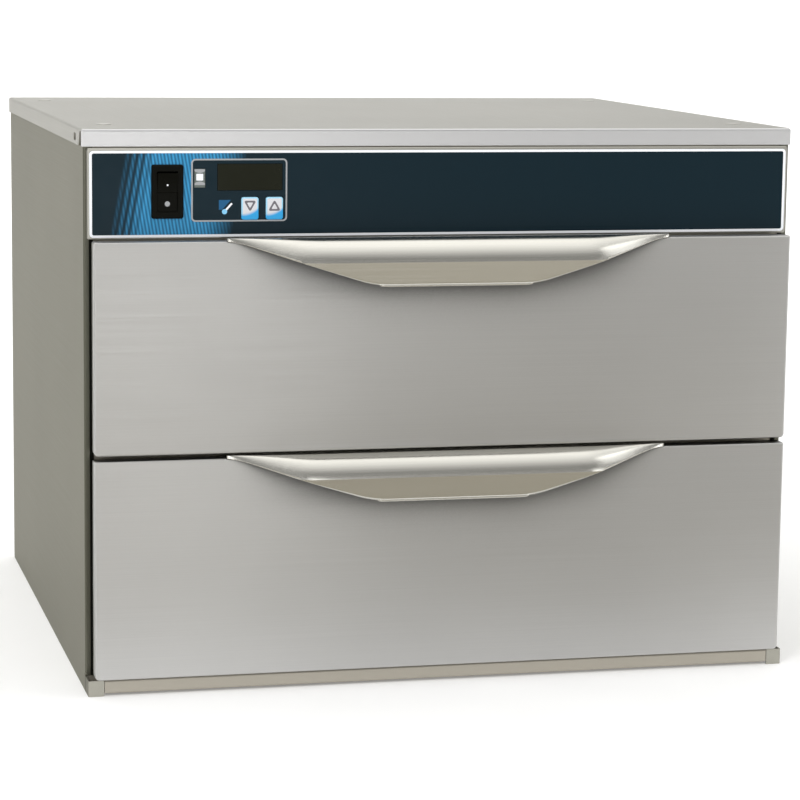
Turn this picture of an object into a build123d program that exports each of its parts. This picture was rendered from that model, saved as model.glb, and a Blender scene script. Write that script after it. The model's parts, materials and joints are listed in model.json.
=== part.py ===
"""Countertop warming cabinet with two pull-out pan drawers and a control strip on top.

Millimetres. +Z is up and the drawers face -Y. The origin is on the floor, midway between
the tips of the drawer pulls and of the cord gland, on the cabinet's middle plane.
"""

from build123d import *
import os
from math import atan2, cos, radians, sin

# Food pans, which the drawers and so the whole cabinet are sized for
PAN_LENGTH = 530.0
PAN_WIDTH = 325.0
PAN_DEPTH = 150.0

# Room round the pans and round the drawer bays
PAN_SIDE_ROOM = 18.0
PAN_HEADROOM = 14.0
PAN_REAR_ROOM = 161.0
WALL_SPACE = 29.0
BASE_SPACE = 32.0
DIVIDER = 16.0
HEAD_SPACE = 102.0
REAR_SPACE = 55.2

# What stands proud of the cabinet
FACE_PROUD = 25.0
PULL_PROUD = 28.0
GLAND_PROUD = 20.0

# Sheet, gaps between fixed sheets and running clearances
SHEET = 1.2
THIN_SHEET = 0.8
SEAT = 0.2
RUN = 0.3
BEND = 1.6

# Cover and its corner plugs
COVER_FLANGE = 14.6
COVER_BEND = 2.2
PLUG_HEAD = 0.8
PLUG_DIAMETER = 13.0
PLUG_HOLE = 10.0
PLUG_STEM = 5.0
PLUG_LEGS = (8.0, 5.0)
PLUG_INSET_X = 28.0
PLUG_INSET_Y = 68.0
CORNER_RELIEF_TOP = 8.0
CORNER_RELIEF_FOOT = 16.0
FLANGE_SLOT = (13.0, 6.0)
FLANGE_SLOT_Y = 42.0

# Side panels, base and front frame
FRONT_RETURN = 8.0
REAR_RETURN = 14.0
FOOT_RETURN = 18.0
EAR_PROUD = 20.0
EAR_HEIGHT = 13.6
EAR_WIDTH = 13.5
RELIEF_RADIUS = 1.6
SILL_GAP = 0.5
SILL_LIFT = 2.3
SILL_LIP = 12.0
BASE_FLANGE = 14.0

# Drawer bays and what surrounds them
BAY_WIDTH = PAN_LENGTH + 2 * PAN_SIDE_ROOM
BAY_HEIGHT = PAN_DEPTH + PAN_HEADROOM
BAY_DEPTH = PAN_WIDTH + PAN_REAR_ROOM
LINER_FLANGE = 6.0
REAR_INSULATION = 25.0
TOP_INSULATION = 18.0
CABLE = (8.0, 4.0)
CABLE_RUNS = 8
CABLE_TURN = 0.3
CABLE_MARGIN = 50.0

# Drawer fronts
FACE_INSET = 5.9
FACE_GAP = 4.4
FACE_OVERLAP = 9.0
FACE_RETURN = 14.0
FACE_CORNER = 4.5
FACE_EDGE = 1.0
FACE_CLEARANCE = 1.1
BACKING_INSET = 10.0
BACKING_RIM = 3.0
DOOR_GAP = 0.8

# Formed pull
PULL_HALF_TOP = 190.0
PULL_HALF_FOOT = 70.0
PULL_EDGE_START = 6.0
PULL_HALF_FLAT = 105.0
PULL_DROP = 38.0
PULL_CREST = 8.0
PULL_BEND = 18.0
PULL_GAUGE = 1.5
PULL_FOLD = 35.0
PULL_SWEEP = 60.0
PULL_HEM = 2.6
PULL_REACH = 5.0

# Pan's forms and its carrying frame
PAN_RIM = 12.5
PAN_WALL = 0.8
PAN_CORNER = 52.0
PAN_FOOT = 7.0
PAN_TAPER = 5.0
PAN_SEAT = 2.0
PAN_FROM_DOOR = 16.0
FRAME_BELOW_TOP = 8.0
FRAME_SKIRT = 60.0
FRAME_REAR_ROOM = 46.0

# Roller slides
SLIDE_SHEET = 1.5
CHANNEL_BELOW_TOP = 54.0
CHANNEL_REAR_ROOM = 34.0
CHANNEL_FLANGE = 10.3
CHANNEL_INSIDE = 21.0
CHANNEL_LIP = 2.5
CHANNEL_SET_BACK = 8.0
ROLLER_DIAMETER = 20.0
ROLLER_WIDTH = 6.2
ROLLER_BORE = 6.4
ROLLER_STUD = 6.0
ROLLER_SHOULDER = 1.2
FRONT_ROLLER_RISE = 3.5
RUNNER_STEP = 1.6
ROLLER_FROM_END = 14.0

# Control strip
BEZEL_INSET = 4.0
BEZEL_PROUD = 4.4
BEZEL_CORNER = 2.0
BEZEL_EDGE = 0.6
BEZEL_GAP = 1.0
OVERLAY = 0.5
OVERLAY_INSET = 1.8
OVERLAY_MARGIN_LOW = 1.4
OVERLAY_MARGIN_HIGH = 2.2
OVERLAY_CORNER = 3.5
SWITCH_FROM_SIDE = 71.0
SWITCH_FLANGE = (27.0, 45.0)
SWITCH_FLANGE_DEPTH = 2.0
SWITCH_CORNER = 2.0
SWITCH_BODY = (23.0, 39.0)
SWITCH_DEPTH = 26.0
ROCKER = (17.0, 33.0)
ROCKER_PROUD = 3.4
ROCKER_TILT = 7.0
CONTROLLER_FROM_SWITCH = 61.0
CONTROLLER = (80.0, 52.0)
CONTROLLER_DEPTH = 50.0
CONTROLLER_RIM = 6.0
DISPLAY = (55.0, 22.0)
DISPLAY_AT = (9.0, 11.8)
LAMP = (9.0, 15.5)
LAMP_AT = (-33.6, 11.0)
KEY = (14.7, 19.8)
KEY_PROUD = 0.8
KEY_STEM = 4.0
KEYS_AT = {"key_down": (9.0, -14.5), "key_up": (29.9, -14.5)}
KEY_CORNER = 2.0
CUT_CLEARANCE = 0.3
CONTROL_WINDOW_MARGIN = 6.9
WINDOW_DEPTH = 2.0
CONTROL_RISE = 2.0
ROCKER_DIP = 1.2
ROCKER_HEEL = 4.0
ROCKER_TOE = 2.4
ROCKER_PIN = 3.0
PIN_CLEARANCE = 0.1
ROCKER_POCKET = 10.0

# Rear and electrics
GLAND_FROM_SIDE = 97.0
GLAND_Z = 60.0
GLAND_DIAMETER = 26.0
GLAND_CAP = 22.0
GLAND_FLANGE = 7.0
GLAND_BORE = 10.0
GLAND_THREAD = 20.0
GLAND_TAIL = 14.0
GLAND_NUT = 5.0
SCREW_HEAD = 7.5
SCREW_HEAD_HEIGHT = 2.2
SCREW_SHANK = 3.8
SCREW_LENGTH = 9.0
SCREW_ROWS = 2
SCREW_EDGE = 16.0
LOUVRE = (60.0, 5.0)
LOUVRE_PITCH = (90.0, 11.0)
LOUVRE_COUNT = (4, 2)
LOUVRE_RISE = 34.0
TRAY_DEPTH = 300.0
TRAY_FLANGE = 10.0
TERMINAL_BLOCK = (70.0, 30.0, 28.0)
TERMINAL_WAYS = 6
TERMINAL_WALL = 1.6
RELAY = (46.0, 40.0, 34.0)
RELAY_TAB = (6.3, 0.8, 6.0)
SENSOR_DIAMETER = 6.0
SENSOR_LENGTH = 90.0
SENSOR_CLIP = (8.0, 9.0)

# Planes and levels that follow from the sizes above
WIDTH = BAY_WIDTH + 2 * WALL_SPACE
HEIGHT = BASE_SPACE + 2 * BAY_HEIGHT + DIVIDER + HEAD_SPACE
CABINET_DEPTH = 2 * (SHEET + SEAT) + BAY_DEPTH + THIN_SHEET + SEAT + REAR_INSULATION + REAR_SPACE
SWITCH_X = SWITCH_FROM_SIDE - WIDTH / 2
CONTROLLER_X = SWITCH_X + CONTROLLER_FROM_SWITCH
GLAND_X = GLAND_FROM_SIDE - WIDTH / 2
FRAME_LEVEL = BAY_HEIGHT - FRAME_BELOW_TOP
FRAME_DEPTH = BAY_DEPTH - FRAME_REAR_ROOM
CHANNEL_LEVEL = BAY_HEIGHT - CHANNEL_BELOW_TOP
CHANNEL_LENGTH = BAY_DEPTH - CHANNEL_REAR_ROOM
DEPTH = PULL_PROUD + FACE_PROUD + CABINET_DEPTH + GLAND_PROUD
FACE_Y = -DEPTH / 2 + PULL_PROUD
CABINET_Y = FACE_Y + FACE_PROUD
BACK_Y = CABINET_Y + CABINET_DEPTH
CABINET_MID_Y = CABINET_Y + CABINET_DEPTH / 2
COVER_TOP = HEIGHT - PLUG_HEAD
COVER_FOOT = COVER_TOP - COVER_FLANGE
PANEL_X = WIDTH / 2 - SHEET - SEAT
PANEL_INSIDE_X = PANEL_X - SHEET
PANEL_TOP = COVER_TOP - SHEET - COVER_BEND
SHELL_HALF = PANEL_INSIDE_X - SEAT
FRAME_Y = CABINET_Y + SHEET + SEAT
LINER_Y = FRAME_Y + SHEET + SEAT
BAY_BACK_Y = LINER_Y + BAY_DEPTH
INSULATION_Y = LINER_Y + THIN_SHEET + SEAT
INSULATION_BACK_Y = BAY_BACK_Y + THIN_SHEET + SEAT
REAR_WALL_Y = INSULATION_BACK_Y + REAR_INSULATION
BASE_FLOOR = SHEET + SEAT
INSULATION_FOOT = BASE_FLOOR + SHEET + SEAT
LOWER_BAY = BASE_SPACE
UPPER_BAY = LOWER_BAY + BAY_HEIGHT + DIVIDER
UPPER_BAY_TOP = UPPER_BAY + BAY_HEIGHT
TRAY_Z = UPPER_BAY_TOP + THIN_SHEET + TOP_INSULATION + 2 * SEAT
SILL_TOP = EAR_HEIGHT
FACE_SPLIT = LOWER_BAY + BAY_HEIGHT + DIVIDER / 2
UPPER_FACE_TOP = UPPER_BAY_TOP + FACE_OVERLAP
FACE_HALF = WIDTH / 2 - FACE_INSET
BEZEL_Y = CABINET_Y - BEZEL_PROUD
BEZEL_FOOT = UPPER_FACE_TOP + DOOR_GAP
BEZEL_TOP = COVER_FOOT - BEZEL_GAP
OVERLAY_FOOT = BEZEL_FOOT + OVERLAY_MARGIN_LOW
OVERLAY_TOP = BEZEL_TOP - OVERLAY_MARGIN_HIGH
OVERLAY_Y = BEZEL_Y - OVERLAY
CONTROL_Z = (OVERLAY_FOOT + OVERLAY_TOP) / 2 + CONTROL_RISE
CONTROL_WINDOW = BEZEL_TOP - BEZEL_FOOT - 2 * CONTROL_WINDOW_MARGIN
DRAWER_BACK_Y = CABINET_Y + SHEET + SEAT - DOOR_GAP
FRAME_FRONT_Y = DRAWER_BACK_Y + SEAT
CHANNEL_Y = CABINET_Y + CHANNEL_SET_BACK
FRONT_ROLLER_Y = CHANNEL_Y + ROLLER_FROM_END + SEAT
REAR_ROLLER_Y = FRAME_FRONT_Y + FRAME_DEPTH - ROLLER_FROM_END
ROLLER_RADIUS = ROLLER_DIAMETER / 2
REAR_ROLLER_LEVEL = CHANNEL_LEVEL + SLIDE_SHEET + ROLLER_RADIUS + SEAT
FRONT_ROLLER_LEVEL = REAR_ROLLER_LEVEL + FRONT_ROLLER_RISE
ROLLER_X = BAY_WIDTH / 2 - SEAT - SLIDE_SHEET - ROLLER_SHOULDER / 2
RUNNER_LEVEL = FRONT_ROLLER_LEVEL + ROLLER_RADIUS + SEAT
RUNNER_X = BAY_WIDTH / 2 - SEAT - CHANNEL_FLANGE - RUNNER_STEP
FRAME_HALF = RUNNER_X - SLIDE_SHEET - SEAT

DRAWERS = {
    "lower": {
        "bay": LOWER_BAY,
        "foot": SILL_TOP + FACE_CLEARANCE,
        "top": FACE_SPLIT - FACE_GAP / 2,
    },
    "upper": {
        "bay": UPPER_BAY,
        "foot": FACE_SPLIT + FACE_GAP / 2,
        "top": UPPER_FACE_TOP,
    },
}


def save(piece, name):
    """Label a finished piece and write it as its own STEP file."""
    os.makedirs("parts", exist_ok=True)
    piece.part.label = name
    export_step(piece.part, f"parts/{name}.step")


def facing_front(y):
    """A plane at depth y whose x is +X, whose y is +Z and whose normal points to the front."""
    return Plane.XZ.offset(-y)


def facing_side(x):
    """A plane at x whose x is +Y, whose y is +Z and whose normal is +X."""
    return Plane.YZ.offset(x)


def block(x_span, y_span, z_span, mode=Mode.ADD):
    """A box between two values on each axis, in the part being built."""
    middle = [(low + high) / 2 for low, high in (x_span, y_span, z_span)]
    size = [high - low for low, high in (x_span, y_span, z_span)]
    with Locations(tuple(middle)):
        Box(*size, mode=mode)


def bent_strip(points, bend, gauge, side):
    """The section of a folded sheet: its outer line, rounded unless bend is 0, thickened to one side."""
    with BuildLine() as outline:
        if bend > 0:
            FilletPolyline(*points, radius=bend)
        else:
            Polyline(*points)
        offset(amount=gauge, side=side, kind=Kind.INTERSECTION)
    make_face(outline.edges())


def make_cover():
    """The lid: a tray turned over, its front corners open and a slot in each side flange."""
    with BuildPart() as cover:
        with BuildSketch(Plane.XY.offset(COVER_TOP)):
            with Locations((0, CABINET_MID_Y)):
                Rectangle(WIDTH, CABINET_DEPTH)
        extrude(amount=-COVER_FLANGE)
        fillet(cover.faces().sort_by(Axis.Z)[-1].edges(), COVER_BEND)
        with BuildSketch(Plane.XY.offset(COVER_FOOT)):
            with Locations((0, CABINET_MID_Y)):
                Rectangle(WIDTH - 2 * SHEET, CABINET_DEPTH - 2 * SHEET)
        extrude(amount=COVER_FLANGE - SHEET, mode=Mode.SUBTRACT)
        behind_flange = CABINET_Y + SHEET
        below_bend = COVER_TOP - COVER_BEND
        with BuildSketch(facing_side(0)):
            Polygon(
                (behind_flange, COVER_FOOT),
                (behind_flange + CORNER_RELIEF_FOOT, COVER_FOOT),
                (behind_flange + CORNER_RELIEF_TOP, below_bend),
                (behind_flange, below_bend),
                align=None,
            )
            with Locations((CABINET_Y + FLANGE_SLOT_Y, COVER_FOOT + FLANGE_SLOT[1])):
                Rectangle(*FLANGE_SLOT)
        extrude(amount=WIDTH / 2, both=True, mode=Mode.SUBTRACT)
        with Locations(*plug_points(COVER_TOP)):
            Hole(PLUG_HOLE / 2, SHEET)
    save(cover, "top_cover")


def plug_points(z):
    """The middles of the four plugged holes near the corners of the cover."""
    x = WIDTH / 2 - PLUG_INSET_X
    return [
        (x * side, y, z)
        for side in (-1, 1)
        for y in (CABINET_Y + PLUG_INSET_Y, BACK_Y - PLUG_INSET_Y)
    ]


def make_cover_plugs():
    """Plugs, each a low round head on the cover and snap legs through its hole."""
    with BuildPart() as plugs:
        for x, y, z in plug_points(COVER_TOP):
            with Locations((x, y, z + PLUG_HEAD / 2)):
                Cylinder(PLUG_DIAMETER / 2, PLUG_HEAD)
            with Locations((x, y, z - PLUG_STEM / 2)):
                Box(*PLUG_LEGS, PLUG_STEM)
    save(plugs, "top_hole_plugs")


def make_side_panel(side, name):
    """A side sheet with front and rear returns, a foot return, and an ear that reaches forward."""
    x = side * PANEL_X
    inward = Side.LEFT if side > 0 else Side.RIGHT
    rear_y = BACK_Y - SHEET - SEAT
    rear = [(x, rear_y), (x - side * REAR_RETURN, rear_y)]
    upper = [(x - side * FRONT_RETURN, CABINET_Y), (x, CABINET_Y), *rear]
    ear_y = CABINET_Y - EAR_PROUD
    ear = [(x - side * EAR_WIDTH, ear_y), (x, ear_y), *rear]
    with BuildPart() as panel:
        with BuildSketch(Plane.XY.offset(EAR_HEIGHT)):
            bent_strip(upper, BEND, SHEET, inward)
        extrude(amount=PANEL_TOP - EAR_HEIGHT)
        with BuildSketch(Plane.XY):
            bent_strip(ear, BEND, SHEET, inward)
        extrude(amount=EAR_HEIGHT)
        foot = sorted((x, x - side * FOOT_RETURN))
        block(foot, (CABINET_Y, rear_y - BEND), (0, SHEET))
        notch = (CABINET_Y - 1, CABINET_Y + CORNER_RELIEF_FOOT + BEND)
        block((-WIDTH, WIDTH), notch, (COVER_FOOT, HEIGHT), mode=Mode.SUBTRACT)
        with BuildSketch(facing_side(x - side * SHEET)):
            with Locations((CABINET_Y + RELIEF_RADIUS, EAR_HEIGHT + RELIEF_RADIUS)):
                Circle(RELIEF_RADIUS)
        extrude(amount=side * 2 * SHEET, mode=Mode.SUBTRACT)
        with BuildSketch(facing_front(rear_y)):
            with Locations(*screw_points()):
                Circle(SCREW_SHANK / 2 + CUT_CLEARANCE)
        extrude(amount=2 * SHEET, mode=Mode.SUBTRACT)
    save(panel, name)


def make_base_pan():
    """The bottom tray, lying on the foot returns of the side panels."""
    rim = BASE_FLOOR + BASE_FLANGE
    left = [(-SHELL_HALF, rim), (-SHELL_HALF, BASE_FLOOR)]
    section = [*left, (SHELL_HALF, BASE_FLOOR), (SHELL_HALF, rim)]
    with BuildPart() as base:
        with BuildSketch(facing_front(LINER_Y)):
            bent_strip(section, BEND, SHEET, Side.LEFT)
        extrude(amount=LINER_Y - (BACK_Y - 2 * (SHEET + SEAT) - BEND))
    save(base, "base_pan")


def make_front_sill():
    """The channel below the drawers, between the ears of the side panels."""
    front = CABINET_Y - EAR_PROUD
    lip = [(front + SILL_LIP, SILL_LIFT), (front, SILL_LIFT)]
    section = [*lip, (front, SILL_TOP), (FRAME_Y - SEAT, SILL_TOP)]
    with BuildPart() as sill:
        with BuildSketch(facing_side(0)):
            bent_strip(section, BEND, SHEET, Side.RIGHT)
        extrude(amount=PANEL_X - EAR_WIDTH - SILL_GAP, both=True)
    save(sill, "front_sill")


def make_front_frame():
    """The flat front sheet with a window for each drawer bay and one for the controls."""
    with BuildPart() as frame:
        with BuildSketch(facing_front(FRAME_Y)):
            with Locations((0, (INSULATION_FOOT + PANEL_TOP) / 2)):
                Rectangle(2 * SHELL_HALF, PANEL_TOP - INSULATION_FOOT)
            for drawer in DRAWERS.values():
                with Locations((0, drawer["bay"] + BAY_HEIGHT / 2)):
                    Rectangle(BAY_WIDTH, BAY_HEIGHT, mode=Mode.SUBTRACT)
            with Locations((0, CONTROL_Z)):
                Rectangle(BAY_WIDTH, CONTROL_WINDOW, mode=Mode.SUBTRACT)
        extrude(amount=-SHEET)
    save(frame, "front_frame")


def make_back_panel():
    """The rear sheet, with its cooling slots, the gland's hole and the screw holes."""
    foot = BASE_FLOOR
    top = COVER_FOOT - SILL_GAP
    with BuildPart() as back:
        with BuildSketch(facing_front(BACK_Y)):
            with Locations((0, (foot + top) / 2)):
                Rectangle(2 * (PANEL_X - SEAT), top - foot)
            with Locations((0, TRAY_Z + LOUVRE_RISE)):
                with GridLocations(*LOUVRE_PITCH, *LOUVRE_COUNT):
                    Rectangle(*LOUVRE, mode=Mode.SUBTRACT)
            with Locations((GLAND_X, GLAND_Z)):
                Circle(GLAND_THREAD / 2 + CUT_CLEARANCE, mode=Mode.SUBTRACT)
            with Locations(*screw_points()):
                Circle(SCREW_SHANK / 2 + CUT_CLEARANCE, mode=Mode.SUBTRACT)
        extrude(amount=SHEET)
    save(back, "back_panel")


def screw_points():
    """The x and z of the screws along both edges of the back panel."""
    step = (COVER_FOOT - 2 * SCREW_EDGE) / (SCREW_ROWS - 1)
    x = PANEL_X - SHEET - REAR_RETURN / 2
    return [(side * x, SCREW_EDGE + step * row) for side in (-1, 1) for row in range(SCREW_ROWS)]


def make_back_screws():
    """Pan-head screws that hold the back panel to the rear returns of the side panels."""
    with BuildPart() as screws:
        with BuildSketch(facing_front(BACK_Y)):
            with Locations(*screw_points()):
                Circle(SCREW_HEAD / 2)
        extrude(amount=-SCREW_HEAD_HEIGHT)
        with BuildSketch(facing_front(BACK_Y)):
            with Locations(*screw_points()):
                Circle(SCREW_SHANK / 2)
        extrude(amount=SCREW_LENGTH)
    save(screws, "back_panel_screws")


def make_gland():
    """The cord gland: a hexagon on the back panel, its cap nut behind that and a nut inside."""
    at = Location((GLAND_X, GLAND_Z))
    with BuildPart() as gland:
        with BuildSketch(facing_front(BACK_Y)):
            with Locations(at):
                RegularPolygon(GLAND_DIAMETER / 2, 6)
        extrude(amount=-GLAND_FLANGE)
        with BuildSketch(facing_front(BACK_Y)):
            with Locations(at):
                RegularPolygon(GLAND_CAP / 2, 6, rotation=30)
        extrude(amount=-GLAND_PROUD)
        with BuildSketch(facing_front(BACK_Y)):
            with Locations(at):
                Circle(GLAND_THREAD / 2)
        extrude(amount=GLAND_TAIL)
        with BuildSketch(facing_front(BACK_Y - SHEET - SEAT)):
            with Locations(at):
                RegularPolygon(GLAND_DIAMETER / 2, 6)
        extrude(amount=GLAND_NUT)
        with BuildSketch(facing_front(BACK_Y + GLAND_PROUD)):
            with Locations(at):
                Circle(GLAND_BORE / 2)
        extrude(amount=GLAND_PROUD + GLAND_TAIL, mode=Mode.SUBTRACT)
    save(gland, "cord_gland")


def make_liner(name, bay):
    """The welded inner box of one drawer bay, with a flange round its open front."""
    middle = bay + BAY_HEIGHT / 2
    wall = 2 * THIN_SHEET
    with BuildPart() as liner:
        with BuildSketch(facing_front(LINER_Y)):
            with Locations((0, middle)):
                Rectangle(BAY_WIDTH + wall, BAY_HEIGHT + wall)
        extrude(amount=-(BAY_DEPTH + THIN_SHEET))
        offset(amount=-THIN_SHEET, openings=liner.faces().sort_by(Axis.Y)[0])
        with BuildSketch(facing_front(LINER_Y)):
            with Locations((0, middle)):
                Rectangle(BAY_WIDTH + wall + 2 * LINER_FLANGE, BAY_HEIGHT + wall + 2 * LINER_FLANGE)
                Rectangle(BAY_WIDTH, BAY_HEIGHT, mode=Mode.SUBTRACT)
        extrude(amount=-THIN_SHEET)
    save(liner, f"{name}_liner")


def make_heating_cable(name, bay):
    """The flat heating cable, laid to and fro under the floor of a bay's liner."""
    level = bay - THIN_SHEET - RUN - CABLE[1] / 2
    pitch = (BAY_DEPTH - 2 * CABLE_MARGIN) / (CABLE_RUNS - 1)
    reach = BAY_WIDTH / 2 - CABLE_MARGIN
    turn = pitch * CABLE_TURN
    points = []
    for run in range(CABLE_RUNS):
        side = 1 if run % 2 else -1
        y = LINER_Y + CABLE_MARGIN + pitch * run
        points += [(side * reach, y - turn, level), (side * (reach - turn), y, level)]
        points += [(-side * (reach - turn), y, level), (-side * reach, y + turn, level)]
    with BuildPart() as cable:
        with BuildLine() as path:
            Polyline(*points[1:-1])
        with BuildSketch(Plane(origin=path.line @ 0, x_dir=(0, 1, 0), z_dir=path.line % 0)):
            Rectangle(*CABLE)
        sweep(transition=Transition.RIGHT)
    save(cable, f"{name}_heating_cable")


def make_insulation():
    """Blankets round the two liners: sides, back, base, between the bays and on top."""
    liner_half = BAY_WIDTH / 2 + THIN_SHEET
    outer_half = SHELL_HALF - SHEET - SEAT
    inner = (-liner_half, liner_half)
    blanket_top = TRAY_Z - SEAT
    between = (INSULATION_Y, INSULATION_BACK_Y - SEAT)
    cable_room = THIN_SHEET + RUN + CABLE[1] + SEAT
    with BuildPart() as sides:
        block((liner_half + SEAT, outer_half), (INSULATION_Y, REAR_WALL_Y), (INSULATION_FOOT, blanket_top))
        mirror(about=Plane.YZ)
    save(sides, "side_insulation")
    with BuildPart() as back:
        block(inner, (INSULATION_BACK_Y, REAR_WALL_Y), (INSULATION_FOOT, blanket_top))
    save(back, "back_insulation")
    with BuildPart() as base:
        block(inner, between, (INSULATION_FOOT, LOWER_BAY - cable_room))
    save(base, "base_insulation")
    with BuildPart() as divider:
        block(inner, between, (LOWER_BAY + BAY_HEIGHT + THIN_SHEET + SEAT, UPPER_BAY - cable_room))
    save(divider, "divider_insulation")
    with BuildPart() as top:
        block(inner, between, (UPPER_BAY_TOP + THIN_SHEET + SEAT, blanket_top))
    save(top, "top_insulation")


def make_electrics():
    """The tray above the upper bay with its terminal block and relay, and the air sensor."""
    half = BAY_WIDTH / 2
    rim = TRAY_Z + TRAY_FLANGE
    section = [(-half, rim), (-half, TRAY_Z), (half, TRAY_Z), (half, rim)]
    with BuildPart() as tray:
        with BuildSketch(facing_front(INSULATION_Y)):
            bent_strip(section, BEND, SHEET, Side.LEFT)
        extrude(amount=-TRAY_DEPTH)
    save(tray, "electrics_tray")

    seat = TRAY_Z + SHEET + SEAT
    rear = INSULATION_Y + TRAY_DEPTH - TRAY_FLANGE
    length, width, height = TERMINAL_BLOCK
    with BuildPart() as terminals:
        block((GLAND_X, GLAND_X + length), (rear - width, rear), (seat, seat + height / 2))
        with Locations((GLAND_X + length / 2, rear - width / 2, seat + height / 2)):
            with GridLocations(length / TERMINAL_WAYS, width, TERMINAL_WAYS, 1):
                Box(TERMINAL_WALL, width, height)
    save(terminals, "terminal_block")

    length, width, height = RELAY
    with BuildPart() as relay:
        block((-GLAND_X - length, -GLAND_X), (rear - width, rear), (seat, seat + height))
        with Locations((-GLAND_X - length / 2, rear - width / 2, seat + height + RELAY_TAB[2] / 2)):
            with GridLocations(length / 2, width / 2, 2, 2):
                Box(*RELAY_TAB)
    save(relay, "relay")

    with BuildPart() as sensor:
        level = UPPER_BAY + BAY_HEIGHT / 2
        axis_y = BAY_BACK_Y - SENSOR_DIAMETER
        with BuildSketch(facing_side(-SENSOR_LENGTH / 2)):
            with Locations((axis_y, level)):
                Circle(SENSOR_DIAMETER / 2)
        extrude(amount=SENSOR_LENGTH)
        clip_x, clip_z = SENSOR_CLIP
        for x in (-SENSOR_LENGTH / 3, SENSOR_LENGTH / 3):
            across = (x - clip_x / 2, x + clip_x / 2)
            block(across, (axis_y, BAY_BACK_Y - SEAT), (level - clip_z / 2, level + clip_z / 2))
    save(sensor, "air_sensor")


def make_bezel():
    """The steel pan of the control strip, with holes for the switch and the controller."""
    height = BEZEL_TOP - BEZEL_FOOT
    middle = (BEZEL_TOP + BEZEL_FOOT) / 2
    width, tall = CONTROLLER
    with BuildPart() as bezel:
        with BuildSketch(facing_front(CABINET_Y - SEAT)):
            with Locations((0, middle)):
                RectangleRounded(WIDTH - 2 * BEZEL_INSET, height, BEZEL_CORNER)
        extrude(amount=BEZEL_PROUD - SEAT)
        chamfer(bezel.faces().sort_by(Axis.Y)[0].edges(), BEZEL_EDGE)
        with BuildSketch(facing_front(CABINET_Y - SEAT)):
            with Locations((0, middle)):
                Rectangle(WIDTH - 2 * (BEZEL_INSET + SHEET), height - 2 * SHEET)
        extrude(amount=BEZEL_PROUD - SEAT - SHEET, mode=Mode.SUBTRACT)
        with BuildSketch(facing_front(CABINET_Y)):
            with Locations((SWITCH_X, CONTROL_Z)):
                Rectangle(SWITCH_BODY[0] + 2 * CUT_CLEARANCE, SWITCH_BODY[1] + 2 * CUT_CLEARANCE)
            with Locations((CONTROLLER_X, CONTROL_Z)):
                Rectangle(width + 2 * CUT_CLEARANCE, tall + 2 * CUT_CLEARANCE)
        extrude(amount=BEZEL_PROUD + SHEET, mode=Mode.SUBTRACT)
    save(bezel, "control_bezel")


def controller_openings(grow):
    """The outlines of the display, the lamp and the two keys, in the sketch being built."""
    with Locations((CONTROLLER_X + DISPLAY_AT[0], CONTROL_Z + DISPLAY_AT[1])):
        Rectangle(DISPLAY[0] + 2 * grow, DISPLAY[1] + 2 * grow)
    with Locations((CONTROLLER_X + LAMP_AT[0], CONTROL_Z + LAMP_AT[1])):
        Rectangle(LAMP[0] + 2 * grow, LAMP[1] + 2 * grow)


def key_openings(grow):
    """The outlines of the two keys, in the sketch being built."""
    for x, z in KEYS_AT.values():
        with Locations((CONTROLLER_X + x, CONTROL_Z + z)):
            RectangleRounded(KEY[0] + 2 * grow, KEY[1] + 2 * grow, KEY_CORNER)


def make_overlay():
    """The printed film on the bezel, cut out for the switch, display, lamp and keys."""
    with BuildPart() as overlay:
        with BuildSketch(facing_front(BEZEL_Y)):
            with Locations((0, (OVERLAY_FOOT + OVERLAY_TOP) / 2)):
                half = WIDTH / 2 - BEZEL_INSET - OVERLAY_INSET
                RectangleRounded(2 * half, OVERLAY_TOP - OVERLAY_FOOT, OVERLAY_CORNER)
        extrude(amount=OVERLAY)
        with BuildSketch(facing_front(BEZEL_Y)):
            with Locations((SWITCH_X, CONTROL_Z)):
                Rectangle(SWITCH_BODY[0] + 2 * CUT_CLEARANCE, SWITCH_BODY[1] + 2 * CUT_CLEARANCE)
            controller_openings(CUT_CLEARANCE)
            key_openings(CUT_CLEARANCE)
        extrude(amount=OVERLAY, mode=Mode.SUBTRACT)
    save(overlay, "control_overlay")


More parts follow.
